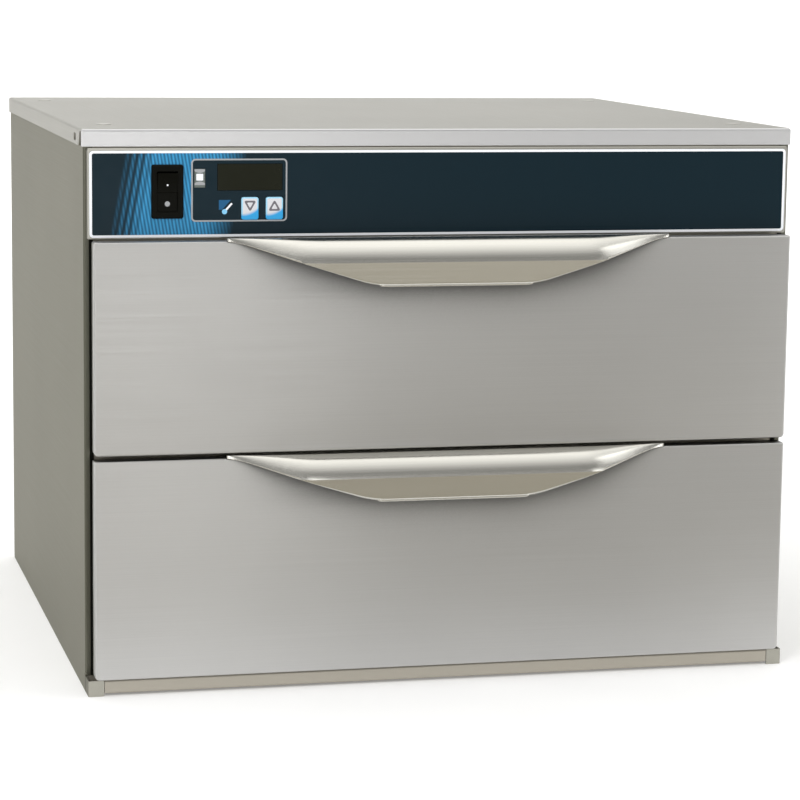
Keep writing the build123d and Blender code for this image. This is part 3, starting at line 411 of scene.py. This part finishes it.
def printed_film():
    """The control film: deep navy, with fine slanted stripes that fade out to both sides.

    Each set of stripes is a sine of x + lean * z. The first set closes up to solid blue
    towards the right, and both stop within the line of the thermostat's frame.
    """
    finish, shader = new_finish("printed_film", NAVY, 0.34, gloss=0.13)
    x, _, z = object_axes(finish)

    def times(first, second):
        return calculate(finish, "MULTIPLY", first, second)

    def stripes(lean, pitch, lowest):
        slanted = calculate(finish, "MULTIPLY_ADD", z, lean, x)
        wave = calculate(finish, "SINE", times(slanted, 2 * pi / (pitch * MM)))
        return ranged(finish, wave, lowest, 1.0, -0.9, 0.9)

    def ramp(none, full):
        """0 at none and 1 at full, across the stripes."""
        return ranged(finish, edge, 0, 1, none * MM, full * MM)

    edge = calculate(finish, "MULTIPLY_ADD", z, STRIPE_LEAN, x)
    fades = times(ramp(STRIPES_BEGIN, STRIPES_FULL), ramp(BLUE_ENDS, BLUE_FADES))
    streaks = times(stripes(STRIPE_LEAN, STRIPE_PITCH, 0.1), ramp(SOLID_FULL, SOLID_BEGIN))
    filled = calculate(finish, "ADD", streaks, ramp(SOLID_BEGIN, SOLID_FULL))
    filled = calculate(finish, "MINIMUM", filled, 1.0)
    weave = times(
        stripes(WEAVE_LEAN, WEAVE_PITCH, 0.40),
        stripes(STRIPE_LEAN, STRIPE_PITCH, 0.86),
    )
    stop_x, stop_z = (PANEL_HALF_X - PANEL_STOP) * MM, (PANEL_HALF_Z - PANEL_STOP) * MM
    panel = times(
        calculate(finish, "COMPARE", x, THERMOSTAT_X * MM, stop_x),
        calculate(finish, "COMPARE", z, PANEL_Z * MM, stop_z),
    )
    strength = times(times(fades, times(filled, weave)), calculate(finish, "SUBTRACT", 1.0, panel))
    feed(finish, shader.inputs["Base Color"], colour_between(finish, strength, NAVY, STRIPE_BLUE))
    feed(finish, shader.inputs["Roughness"], ranged(finish, object_noise(finish, 90.0), 0.28, 0.36))
    return finish


KEY_WHITE, KEY_RIM, KEY_BLUE = (0.70, 0.70, 0.73), (0.36, 0.68, 0.88), (0.03, 0.38, 0.78)


def key_print(name, centre_x, centre_z, half_x, half_z):
    """A key's print: near white, a light blue rim, and blue below a curve that rises inwards.

    The rim begins 1.6 mm inside the edge on either axis and is full at 0.9 mm. The curve is
    level as far as 6 mm left of the middle. From there it rises by 30 times the square of
    the distance, in metres.
    """
    finish, shader = new_finish(name, KEY_WHITE, 0.3, gloss=0.25)
    x, _, z = object_axes(finish)
    x = calculate(finish, "SUBTRACT", x, centre_x * MM)
    z = calculate(finish, "SUBTRACT", z, centre_z * MM)
    across = calculate(finish, "MAXIMUM", calculate(finish, "ADD", x, 6.0 * MM), 0.0)
    rise = calculate(finish, "MULTIPLY", calculate(finish, "MULTIPLY", across, across), 30.0)
    level = calculate(finish, "SUBTRACT", z, rise)
    blue = ranged(finish, level, 1, 0, -6.6 * MM, -4.0 * MM)

    def rim(distance, half):
        return ranged(finish, distance, 0, 1, (half - 1.6) * MM, (half - 0.9) * MM)

    rims = [rim(calculate(finish, "ABSOLUTE", way), half) for way, half in ((x, half_x), (z, half_z))]
    pale = colour_between(finish, calculate(finish, "MAXIMUM", *rims), KEY_WHITE, KEY_RIM)
    feed(finish, shader.inputs["Base Color"], colour_between(finish, blue, pale, KEY_BLUE))
    return finish


# The way the grain runs: the squeeze of its noise along X, Y and Z
ACROSS = (5.0, 1400.0, 1400.0)
INWARD = (1400.0, 5.0, 1400.0)
EVEN = (300, 300, 300)

finishes = {
    "cabinet_steel": brushed_steel("cabinet_steel", (0.38, 0.372, 0.335), 0.34, INWARD),
    "drawer_steel": brushed_steel("drawer_steel", (0.585, 0.582, 0.572), 0.42, ACROSS, spread=0.85),
    "base_steel": brushed_steel("base_steel", (0.47, 0.44, 0.38), 0.5, ACROSS),
    "inner_steel": brushed_steel("inner_steel", (0.50, 0.50, 0.48), 0.36, INWARD),
    "pan_steel": brushed_steel("pan_steel", (0.60, 0.60, 0.59), 0.22, ACROSS, depth=0.02),
    "slide_steel": brushed_steel("slide_steel", (0.48, 0.48, 0.46), 0.38, INWARD),
    "fixing_steel": brushed_steel("fixing_steel", (0.55, 0.54, 0.51), 0.35, EVEN),
    "sensor_steel": brushed_steel("sensor_steel", (0.55, 0.55, 0.53), 0.3, ACROSS),
    "nylon": moulded_plastic("nylon", (0.70, 0.69, 0.64), 0.45),
    "glass_wool": glass_wool("glass_wool", (0.62, 0.48, 0.20)),
    "cable_jacket": moulded_plastic("cable_jacket", (0.30, 0.05, 0.03), 0.5),
    "printed_film": printed_film(),
    "dark_window": enamel("dark_window", (0.007, 0.008, 0.002), 0.3),
    "lamp_lens": enamel("lamp_lens", (0.13, 0.15, 0.14), 0.3),
    "pale_key": enamel("pale_key", (0.75, 0.82, 0.88), 0.3),
    "black_plastic": moulded_plastic("black_plastic", (0.002, 0.002, 0.0006), 0.5),
    "cream_plastic": moulded_plastic("cream_plastic", (0.62, 0.56, 0.40), 0.5),
}
PULL_STEEL = brushed_steel("pull_steel", (0.655, 0.643, 0.595), 0.22, ACROSS, depth=0.015)
# Painted shade: the pull sheet's back and rim are painted near black, so the drawer front below it
# reflects a dark underside
PULL_UNDERSIDE_PAINTED_SHADE = brushed_steel("pull_underside_painted_shade", (0.10, 0.10, 0.09), 0.6, ACROSS)
WHITE_INK = enamel("white_ink", (0.90, 0.92, 0.96))
GREY_INK = enamel("grey_ink", (0.36, 0.37, 0.38))
DARK_INK = enamel("dark_ink", (0.17, 0.16, 0.18))
BLUE_INK = enamel("blue_ink", (0.02, 0.11, 0.24))
PALE_BLUE_INK = enamel("pale_blue_ink", (0.25, 0.60, 0.88))

# Each pull shades the drawer front below it. The bands that stay clear are the lower half of
# the lower front, and the part of the upper front that stands over the lower pull.
shaded_under(finishes["drawer_steel"], 45, 0.04, [(0.0, 120.0), (203.0, 300.0)])

# Painted shade: the side panel's steel is darker than the top's and duller at a glancing angle, as the
# side the light falls away from. Its front return, which lies in the drawers' shade, is painted darker
# still, and the ear before it, which is lit again, is painted back to the side's tone
SIDE_STEEL_PAINTED_SHADE = brushed_steel("side_steel_painted_shade", (0.44, 0.43, 0.37), 0.42, INWARD, edge=0.33)
zoned(SIDE_STEEL_PAINTED_SHADE, (0.15, 0.15, 0.12), -266.6, -267.8)
zoned(SIDE_STEEL_PAINTED_SHADE, (0.42, 0.41, 0.36), -270.0, -271.0)
# Painted light: the cover's front flange is painted brighter than its top, for the light the flange
# catches
TOP_STEEL_PAINTED_LIGHT = brushed_steel("top_steel_painted_light", (0.52, 0.51, 0.47), 0.38, INWARD, edge=0.62)
zoned(TOP_STEEL_PAINTED_LIGHT, (0.63, 0.63, 0.635), -267.0, -267.6)

for part in frame["record"]["subparts"]:
    mesh = nodes[part["node"]].data
    finish = finishes[part["material_slot"]]
    if part["node"].endswith("side_panel"):
        finish = SIDE_STEEL_PAINTED_SHADE
    if part["node"] == "top_cover":
        finish = TOP_STEEL_PAINTED_LIGHT
    mesh.materials.clear()
    mesh.materials.append(finish)


# ---------------------------------------------------------------- drawer fronts


# The skin is this much narrower at each end than the CAD front
SKIN_INSET = 0.9


def make_drawer_face(drawer):
    """A folded skin: flat front, edges bent round a small radius, thin returns behind."""
    node = f"{drawer}_drawer_face"
    (_, _, foot), (node_half, back_y, top) = mm_box(node)
    half_u, half_v = node_half - SKIN_INSET, (top - foot) / 2
    bend, skin, back = 1.6, 1.2, back_y - FACE_Y
    head_corner, foot_corner = 1.6, 3.6
    inset, drop = quarter_steps(bend)
    insets = [skin, skin, 0.0, *inset]
    depths = [-skin, -back, -back, *(drop - bend)]
    outlines = [
        rounded_outline(half_u - i, half_v - i, head_corner - i, foot_corner - i) for i in insets
    ]
    shell = solid_of_rings(outlines, depths, (0, FACE_Y, (foot + top) / 2), "front")
    steel = finishes["drawer_steel"]
    make_piece(f"{drawer}_front_skin", [shell], f"{drawer}_drawer", steel, [node])


# The pull from in front: half widths at its tips, where its lower edge turns level at the
# foot, and of the flat front between its two folds
TIP, FOOT_HALF, FLAT_HALF = 193.5, 70.5, 124.0
# Its section: from the crest down to the foot, how far the crest stands above the drawer front
# and out of it, how far the bend runs down and out, and how far out the foot is
DROP, RISE, CREST, BEND, BEND_OUT, FOOT_OUT = 39.6, 2.4, 3.0, 19.6, 17.2, 16.8
# The bend stops this many degrees short of a quarter turn
BEND_STOP = 9.0
# How softly the section shrinks past a fold, and how far out it still is at the tips
FOLD_EASE, TIP_OUT = 0.12, 0.04
# The lower edge turns level this far before a tip, and its corners are this soft
EDGE_LEVEL, EDGE_SOFT = 6.0, 13.0
# A tab tucks behind the front, and a rolled hem runs along the foot
TAB, GAUGE, HEM_RADIUS = 5.0, 1.3, 1.45
# Folds of more degrees than this stay crisp: the one at the bend's foot, but not its own chords
CRISP_FOLD = 11


def pull_depth(x, below):
    """How far the pull stands out at x and that far below its crest.

    The section runs out from a narrow crest round a bend that stops BEND_STOP short of a
    quarter turn, then folds into a skirt that leans back a little. It keeps its full depth
    as far as the folds. From there it shrinks evenly to nothing at the tips, with the fold
    itself eased by a soft minimum.
    """
    turned = radians(90 - BEND_STOP)
    radius = BEND / (1 - cos(turned))
    turn = np.arccos(np.clip(1 - np.clip(below, 0, BEND) / radius, -1, 1))
    section = CREST + BEND_OUT * np.sin(turn) / sin(turned)
    lean_back = (FOOT_OUT - CREST - BEND_OUT) / (DROP - BEND)
    section = section + np.clip(below - BEND, 0, None) * lean_back
    plan = np.clip((TIP - np.abs(x)) / (TIP - FLAT_HALF), 0, None)
    plan = (1 + plan - np.sqrt((1 - plan) ** 2 + FOLD_EASE**2)) / 2
    return np.clip(section * plan + TIP_OUT, 0, None)


def pull_edge(x):
    """How far below the crest the pull's lower edge runs: an S from the tips to the foot.

    Straight slopes join the level ends, with each corner rounded by a parabola.
    """
    across = np.abs(x)
    start, end, soft = FOOT_HALF, TIP - EDGE_LEVEL, EDGE_SOFT
    fall = DROP - RISE
    slope = fall / (end - start)
    height = slope * (across - start)
    near_foot = slope * np.clip(across - start + soft, 0, None) ** 2 / (4 * soft)
    height = np.where(np.abs(across - start) < soft, near_foot, height)
    height = np.where(across < start - soft, 0, height)
    near_tip = fall - slope * np.clip(end + soft - across, 0, None) ** 2 / (4 * soft)
    height = np.where(np.abs(across - end) < soft, near_tip, height)
    height = np.where(across > end + soft, fall, height)
    return DROP - height


def make_pull_sheet(drawer, crest):
    """The formed sheet: over x, and down its section by tab, crest, bend and skirt."""
    x = np.linspace(-TIP, TIP, 361)
    edge = pull_edge(x)
    bend_foot = np.minimum(edge, BEND)
    tab = np.linspace(-TAB, 0, 3)[:, None] * np.ones_like(x)
    flat = np.linspace(0, 1, 4)[1:, None] * pull_depth(x, np.zeros_like(x))
    bend = (1 - np.cos(np.linspace(0, pi / 2, 19)))[1:, None] * bend_foot
    skirt = bend_foot + np.linspace(0, 1, 9)[1:, None] * (edge - bend_foot)
    down = np.concatenate([bend, skirt])
    out = np.concatenate([tab, flat, pull_depth(x, down)])
    below = np.concatenate([np.zeros((len(tab) + len(flat), x.size)), down])
    grid = np.stack(np.broadcast_arrays(x, FACE_Y - out, crest - below), -1)
    sheet = make_piece(
        f"{drawer}_pull_sheet",
        [(grid, grid_faces(*grid.shape[:2], flipped=True))],
        f"{drawer}_drawer",
        PULL_STEEL,
        [f"{drawer}_pull"],
        sharp=CRISP_FOLD,
        open_sheet=True,
    )
    gauge = sheet.modifiers.new("gauge", "SOLIDIFY")
    gauge.thickness = GAUGE * MM
    gauge.offset = -1
    # The sheet's back and rim take the near-black underside steel, which is painted shade
    gauge.material_offset = 1
    sheet.data.materials.append(PULL_UNDERSIDE_PAINTED_SHADE)


def make_pull_hem(drawer, crest):
    """The rolled hem: a thin rod along the foot's curve, its ends drawn in round."""
    half = FOOT_HALF - 3.0
    x = np.linspace(-half, half, 61)
    edge = pull_edge(x)
    y = FACE_Y - pull_depth(x, edge) + 0.5
    z = crest - edge + 0.4
    ring = circle_outline(HEM_RADIUS, 16)
    ends = np.clip((half - np.abs(x)) / 1.2, 0.05, 1)[:, None] ** 0.5
    across, up = ends * ring[None, :, 0], ends * ring[None, :, 1]
    rings = np.stack(np.broadcast_arrays(x[:, None], y[:, None] + across, z[:, None] + up), -1)
    hem = rings, ring_faces(*rings.shape[:2])
    make_piece(f"{drawer}_pull_hem", [hem], f"{drawer}_drawer", PULL_STEEL)


def make_pan(drawer):
    """The food pan: nested rounded rectangles from the inside floor over the rim and down.

    Its walls lean in by the draw, and each ring is a distance inside the rim's mouth, and a
    depth below the rim.
    """
    node = f"{drawer}_pan"
    low, high = mm_box(node)
    middle = (low + high) / 2
    lip, corner, wall, foot, draw = 12.5, 52.0, 0.8, 12.0, tan(radians(5.0))
    mouth_u, mouth_v = high[0] - middle[0] - lip, high[1] - middle[1] - lip
    depth = high[2] - low[2]

    def ring(inset, down, leaning=True):
        shrink = inset + draw * down * leaning
        outline = rounded_outline(mouth_u - shrink, mouth_v - shrink, corner - shrink, steps=12)
        return outline, -down

    inset, drop = quarter_steps(foot)
    inner_foot = [ring(wall + i, depth - foot - wall + d) for i, d in zip(inset, drop)][::-1]
    inner_mouth = [ring(wall, 3.0), ring(wall - 1.5, 0.6), ring(wall - 3.0, 0.0)]
    lip_edge = ((11.0, 0.0), (lip, 0.3), (lip, 0.6), (11.0, 0.8))
    rim = [ring(-reach, down, leaning=False) for reach, down in lip_edge]
    outer_mouth = [ring(-2.2, 0.8), ring(-0.8, 1.4), ring(0.0, 3.6)]
    outer_foot = [ring(i, depth - foot + d) for i, d in zip(inset, drop)]
    outlines, depths = zip(*inner_foot, *inner_mouth, *rim, *outer_mouth, *outer_foot)
    shell = solid_of_rings(outlines, depths, (middle[0], middle[1], high[2]), "top")
    steel = finishes["pan_steel"]
    make_piece(f"{drawer}_food_pan", [shell], f"{drawer}_drawer", steel, [node])


def make_rollers(drawer, end):
    """A pair of rollers: a crowned rim, a recessed web and a hub, turned about X."""
    node = f"{drawer}_{end}_rollers"
    low, high = mm_box(node)
    _, centre_y, centre_z = (low + high) / 2
    width = 6.2
    hub = [(3.2, 0.0), (4.6, 0.0)]
    web = [(4.9, 0.8), (8.0, 0.8)]
    rim = [(8.3, 0.2), (9.4, 0.2), (10.0, 0.8)]
    half = hub + web + rim
    profile = half + [(radius, width - depth) for radius, depth in reversed(half)]
    outlines = [circle_outline(radius) for radius, _ in profile]
    depths = [depth for _, depth in profile]
    places = [(x, centre_y, centre_z) for x in (low[0], high[0] - width)]
    wheels = [tube_of_rings(outlines, depths, place, "right") for place in places]
    make_piece(f"{drawer}_{end}_wheels", wheels, node, finishes["nylon"], [node])


for drawer in DRAWERS:
    make_drawer_face(drawer)
    crest = mm_box(f"{drawer}_drawer_face")[1][2] + RISE
    make_pull_sheet(drawer, crest)
    make_pull_hem(drawer, crest)
    make_pan(drawer)
    make_rollers(drawer, "front")
    make_rollers(drawer, "rear")


# ---------------------------------------------------------------- cover and back


def make_plugs():
    """Hole plugs: low domes with a fine lip, each on a short sprung leg."""
    dome = [(6.5, -0.05), (6.5, 0.25), (6.2, 0.5), (4.8, 0.68), (2.6, 0.78), (0.02, 0.8)]
    leg = rounded_outline(4.0, 2.5, 0.6, steps=3)
    leg_length = 4.6
    places = [(x, y, COVER_TOP) for x in (-284.0, 284.0) for y in (-200.5, 233.5)]
    shells = [turned_shell(dome, place, "top") for place in places]
    shells += [solid_of_rings([leg, leg * 0.8], [-leg_length, 0.0], place, "top") for place in places]
    steel = finishes["fixing_steel"]
    make_piece("cover_plugs", shells, "cabinet", steel, ["top_hole_plugs"])


def make_back_screws():
    """Pan-head screws with a cross slot, whose recess is shown by black bars set into the head as painted
    shade.
    """
    low, high = mm_box("back_panel_screws")
    head_radius = 3.75
    head = [(head_radius, 0.0), (head_radius, 0.9), (3.4, 1.5), (2.5, 2.0), (1.2, 2.18), (0.02, 2.2)]
    shank = [(1.9, -9.0), (1.9, 0.0)]
    slot_floor, slot_top = 1.9, 2.22
    heads, slots = [], []
    for x in (low[0] + head_radius, high[0] - head_radius):
        for z in (low[2] + head_radius, high[2] - head_radius):
            place = (x, BACK_Y, z)
            heads.append(turned_shell(head, place, "back"))
            heads.append(turned_shell(shank, place, "back", 16))
            for half in ((2.0, 0.35), (0.35, 2.0)):
                bar = rounded_outline(*half, 0.1, steps=2)
                slots.append(solid_of_rings([bar, bar], [slot_floor, slot_top], place, "back"))
    steel, black = finishes["fixing_steel"], finishes["black_plastic"]
    make_piece("rear_screws", heads, "cabinet", steel, ["back_panel_screws"])
    # The black of the slots is painted shade for the recess
    make_piece("rear_screw_slot_shades", slots, "cabinet", black)


def make_gland():
    """The cord gland: a hexagon flange, a fluted cap with a rounded mouth and an inner nut."""
    x, _, z = mm_middle("cord_gland")
    place = (x, BACK_Y, z)
    wide, narrow = hexagon_outline(13.0), hexagon_outline(12.4)
    flange = solid_of_rings([narrow, wide, wide, narrow], [0.02, 0.6, 6.4, 7.0], place, "back")
    nut = solid_of_rings([wide, wide], [-6.4, -1.4], place, "back")
    angle = np.linspace(0, 2 * pi, 96, endpoint=False)
    unit = np.stack([np.cos(angle), np.sin(angle)], 1)
    fluted = unit * (1 + 0.035 * np.cos(16 * angle))[:, None]
    bore = 5.2
    cap = [unit * radius for radius in (bore, bore, 10.6)]
    cap += [fluted * radius for radius in (10.9, 10.9, 10.3)]
    cap += [unit * radius for radius in (8.6, 6.6, bore)]
    cap_depths = [-13.9, 6.0, 6.6, 7.4, 14.5, 16.6, 18.8, 19.8, 19.9]
    cap = tube_of_rings(cap, cap_depths, place, "back")
    thread = [unit * radius for radius in (5.0, 10.0, 10.0, 5.0)]
    thread = tube_of_rings(thread, [-14.0, -14.0, 0.0, 0.0], place, "back")
    black = finishes["black_plastic"]
    shells = [flange, nut, cap, thread]
    make_piece("rear_cord_gland", shells, "cabinet", black, ["cord_gland"])


def make_gap_shade_strips():
    """Painted shade: black strips, one down each side, on the returns behind the edges of the drawer
    fronts, standing for the dark gap there.
    """
    foot = mm_box("lower_drawer_face")[0][2] - 0.5
    top = mm_box("upper_drawer_face")[1][2] + 0.4
    strip = rounded_outline(1.7, (top - foot) / 2, 0.5, steps=3)
    shells = []
    for x in (-304.3, 304.3):
        place = (x, -268.5, (foot + top) / 2)
        shells.append(solid_of_rings([strip, strip, strip * (0.8, 1)], [-0.05, 0.5, 0.8], place, "front"))
    # These black strips are painted shade for the gap beside the drawer fronts
    make_piece("gap_shade_strips", shells, "cabinet", finishes["black_plastic"])


make_gap_shade_strips()
make_plugs()
make_back_screws()
make_gland()


# ---------------------------------------------------------------- control strip

# Ink stands this far out of what it is printed on, and its back is sunk this far in
INK_OUT, INK_SUNK = 0.12, -0.1


def on_film(x, z):
    return (x, FILM_Y, z)


def inked(outline, place, out=INK_OUT):
    """An outline printed on the front: a very thin solid."""
    return solid_of_rings([outline] * 2, [INK_SUNK, out], place, "front")


def print_piece(name, shells, ink, body="cabinet"):
    make_piece(name, shells, body, ink)


def make_film_print():
    """The white border of the film, the thermostat's frame line and its thermometer sign."""
    middle, half = (FILM_TOP + FILM_FOOT) / 2, (FILM_TOP - FILM_FOOT) / 2
    outer = rounded_outline(FILM_HALF - 0.05, half - 0.05, 3.4)
    inner = rounded_outline(FILM_HALF - 2.3, half - 2.1, 1.6)
    border = flat_band(outer, inner, INK_SUNK, INK_OUT, on_film(0, middle), "front")
    print_piece("film_border", [border], WHITE_INK)

    outer = rounded_outline(PANEL_HALF_X, PANEL_HALF_Z, 3.6)
    inner = rounded_outline(PANEL_HALF_X - PANEL_LINE, PANEL_HALF_Z - PANEL_LINE, 2.4)
    line = flat_band(outer, inner, INK_SUNK, INK_OUT, on_film(THERMOSTAT_X, PANEL_Z), "front")
    print_piece("thermostat_frame_line", [line], GREY_INK)

    sign = on_film(THERMOSTAT_X - 12.6, CONTROL_Z - 17.1)
    stem = polygon_outline([(-0.9, -1.0), (0.9, -1.0), (0.8, 9.4), (-0.8, 9.4)], 0.5)
    turn = radians(-42)
    stem = stem @ np.array([[cos(turn), sin(turn)], [-sin(turn), cos(turn)]])
    print_piece("thermometer_stem", [inked(stem, sign)], WHITE_INK)
    bulb = circle_outline(2.2, 32)
    print_piece("thermometer_bulb", [inked(bulb, sign, INK_OUT + 0.04)], PALE_BLUE_INK)
    wedge = polygon_outline([(-2.2, 1.6), (5.4, 9.8), (-4.8, 9.8), (-4.8, 1.6)], 0.4)
    print_piece("thermometer_wedge", [inked(wedge, sign, INK_OUT - 0.05)], BLUE_INK)


def make_lamp_sign():
    """The lamp's window: a pale square between two grey bars that curve round it."""
    x, _, z = mm_middle("indicator_lens")
    place = on_film(x, z + 0.9)
    square = rounded_outline(2.9, 2.8, 0.5, steps=3)
    print_piece("lamp_square", [inked(square, place, 0.1)], WHITE_INK)
    half, near, far, bow = 4.4, 3.6, 6.6, 1.4
    u = np.linspace(-half, half, 17)
    bars = []
    for side in (-1, 1):
        inner_edge = np.stack([u, side * (near + bow * (u / half) ** 2)], 1)
        outer_edge = np.stack([u, side * np.full_like(u, far)], 1)[::-1]
        bars.append(inked(np.concatenate([inner_edge, outer_edge]), place, 0.06))
    print_piece("lamp_bars", bars, GREY_INK)


def make_key(name, upward):
    """A printed key with softly rounded edges and a triangle outline on it."""
    low, high = mm_box(name)
    x, _, z = (low + high) / 2
    half_u, half_v = (high[0] - low[0]) / 2, (high[2] - low[2]) / 2 - 0.4
    rounding, corner = 0.6, 2.0
    inset, drop = quarter_steps(rounding, 4)
    insets = [0.0, *inset]
    depths = [FILM_Y - high[1], *(FILM_Y - low[1] - rounding + drop)]
    outlines = [rounded_outline(half_u - i, half_v - i, corner - i) for i in insets]
    shell = solid_of_rings(outlines, depths, on_film(x, z), "front")
    label = key_print(f"{name}_print", x, z, half_u, half_v)
    make_piece(f"{name}_cap", [shell], name, label, [name])

    reach, lift = 5.4, 2.2
    corners = np.array([(-reach, -reach * 0.8), (reach, -reach * 0.8), (0.0, reach * 0.95)])
    if not upward:
        corners = (corners * (1, -1))[::-1]
    corners[:, 1] += lift
    middle = corners.mean(0)
    outer = polygon_outline(corners, 2.4)
    inner = polygon_outline((corners - middle) * 0.52 + middle, 1.3)
    arrow = flat_band(outer, inner, INK_SUNK, 0.08, (x, low[1], z), "front")
    print_piece(f"{name}_arrow", [arrow], DARK_INK, name)


def make_rocker_marks():
    """The two marks on the rocker: thin discs that lie on its dished face.

    The face is an arc through its two lips and its middle, in a section that leans, so a
    disc leans by the rocker's tilt and the arc's own slope at its height.
    """
    half, lip, dip, lean = 16.2, 3.4, 1.2, radians(7.0)
    sag = lip - dip
    radius = (half**2 + sag**2) / (2 * sag)
    for name, along, size, ink in (("on", 5.8, 0.8, WHITE_INK), ("off", -10.0, 2.2, GREY_INK)):
        out = dip + radius - sqrt(radius**2 - along**2)
        tilt = lean + asin(along / radius)
        y = FILM_Y - out * cos(lean) - along * sin(lean)
        z = CONTROL_Z - out * sin(lean) + along * cos(lean)
        disc = circle_outline(size, 32)
        rings = stacked([disc, disc, disc * 0.85], [-0.5, 0.08, 0.16])
        across, up, proud = np.moveaxis(rings, -1, 0)
        y = y - up * sin(tilt) - proud * cos(tilt)
        z = z + up * cos(tilt) - proud * sin(tilt)
        shell = np.stack([SWITCH_X + across, y, z], -1), ring_faces(*rings.shape[:2])
        print_piece(f"rocker_{name}_mark", [shell], ink, "rocker")


make_film_print()
make_lamp_sign()
make_key("key_down", upward=False)
make_key("key_up", upward=True)
make_rocker_marks()


# ---------------------------------------------------------------- floor, light and camera
# From here on lengths are metres.


def stage_sheet(name, grid, finish):
    """A sheet of the studio from a grid of points."""
    mesh = bpy.data.meshes.new(name)
    mesh.from_pydata(grid.reshape(-1, 3).tolist(), [], grid_faces(*grid.shape[:2]))
    mesh.shade_smooth()
    mesh.materials.append(finish)
    sheet = bpy.data.objects.new(name, mesh)
    bpy.context.scene.collection.objects.link(sheet)
    return sheet


def make_floor():
    """A pale sweep: a level floor that turns up into a wall far behind, as one sheet."""
    reach, front, back, turn, height = 9.0, -9.0, 7.0, 2.5, 7.0
    bend = np.linspace(0, pi / 2, 17)
    y = np.concatenate([[front], back + turn * np.sin(bend), [back + turn]])
    z = np.concatenate([[0.0], turn * (1 - np.cos(bend)), [height]])
    x = np.linspace(-reach, reach, 5)
    grid = np.stack(np.broadcast_arrays(x[None], y[:, None], z[:, None]), -1)
    finish, shader = new_finish("pale_floor", (0.86, 0.86, 0.86), 0.8, gloss=0.1)
    grain = ranged(finish, object_noise(finish, 12.0), 0, 1)
    tone = colour_between(finish, grain, (0.84, 0.84, 0.84), (0.87, 0.87, 0.87))
    feed(finish, shader.inputs["Base Color"], tone)
    shader.inputs["Emission Color"].default_value = (1, 1, 1, 1)
    shader.inputs["Emission Strength"].default_value = 0.18
    stage_sheet("floor", grid, finish)


def make_table_card():
    """A tan card low in front, out of view, that only the steel sees, as a table would be."""
    x, y = np.meshgrid(np.linspace(-1.1, 1.1, 5), np.linspace(-1.45, -0.42, 5))
    grid = np.stack([x, y, np.full_like(x, 0.004)], -1)
    finish, shader = new_finish("table_card", (0.42, 0.39, 0.33), 0.9, gloss=0.0)
    fleck = object_noise(finish, 30.0)
    tone = colour_between(finish, fleck, (0.38, 0.36, 0.31), (0.44, 0.41, 0.35))
    feed(finish, shader.inputs["Base Color"], tone)
    card = stage_sheet("table_card", grid, finish)
    card.visible_camera = card.visible_diffuse = card.visible_shadow = False


def soft_box(name, place, target, size, power):
    """A white rectangular light at place, turned to shine on target."""
    light = bpy.data.lights.new(name, "AREA")
    light.shape = "RECTANGLE"
    light.size, light.size_y = size
    light.energy = power
    lamp = bpy.data.objects.new(name, light)
    lamp.visible_camera = False
    lamp.location = place
    lamp.rotation_euler = (Vector(target) - Vector(place)).to_track_quat("-Z", "Y").to_euler()
    bpy.context.scene.collection.objects.link(lamp)


def make_studio_walls():
    """A world whose ceiling is one wide soft light, over walls that stay dimmer."""
    world = bpy.data.worlds.new("studio")
    bpy.context.scene.world = world
    world.use_nodes = True
    sky = world.node_tree.nodes["Background"]
    sky.inputs["Color"].default_value = (1.0, 0.995, 0.98, 1)
    way = add_node(world, "ShaderNodeTexCoord")
    split = add_node(world, "ShaderNodeSeparateXYZ")
    feed(world, split.inputs["Vector"], way.outputs["Generated"])
    feed(world, sky.inputs["Strength"], ranged(world, split.outputs["Z"], 0.31, 1.50, 0.38, 0.97))


def make_light():
    """The walls, and five soft boxes: two of them low, which the drawer fronts reflect."""
    make_studio_walls()
    soft_box("wall wash", (0.0, 3.5, 5.5), (0, 9.0, 1.5), (5.0, 1.5), 230)
    soft_box("low front", (-0.10, -2.7, 0.22), (0, 0, 0.25), (0.8, 0.44), 2.75)
    soft_box("low right", (1.9, -2.5, 0.22), (0.3, 0, 0.25), (0.6, 0.44), 2.2)
    soft_box("right", (2.6, -1.8, 1.7), (0, -0.2, 0.3), (1.2, 1.6), 10)
    soft_box("key", (-2.6, -3.2, 2.6), (0, -0.2, 0.25), (1.2, 1.2), 60)


def make_camera():
    """The photograph's view, from a camera fitted to the cabinet's corners."""
    camera = bpy.data.cameras.new("camera")
    camera.sensor_width = 36
    camera.lens = 127.285
    camera.clip_end = 60
    view = bpy.data.objects.new("camera", camera)
    view.location = (-0.612882, -2.605612, 0.609597)
    view.rotation_euler = (radians(81.367), radians(-0.6948), radians(-13.7122))
    bpy.context.scene.collection.objects.link(view)
    bpy.context.scene.camera = view


make_floor()
make_table_card()
make_light()
make_camera()
bpy.context.scene.view_settings.view_transform = "Standard"
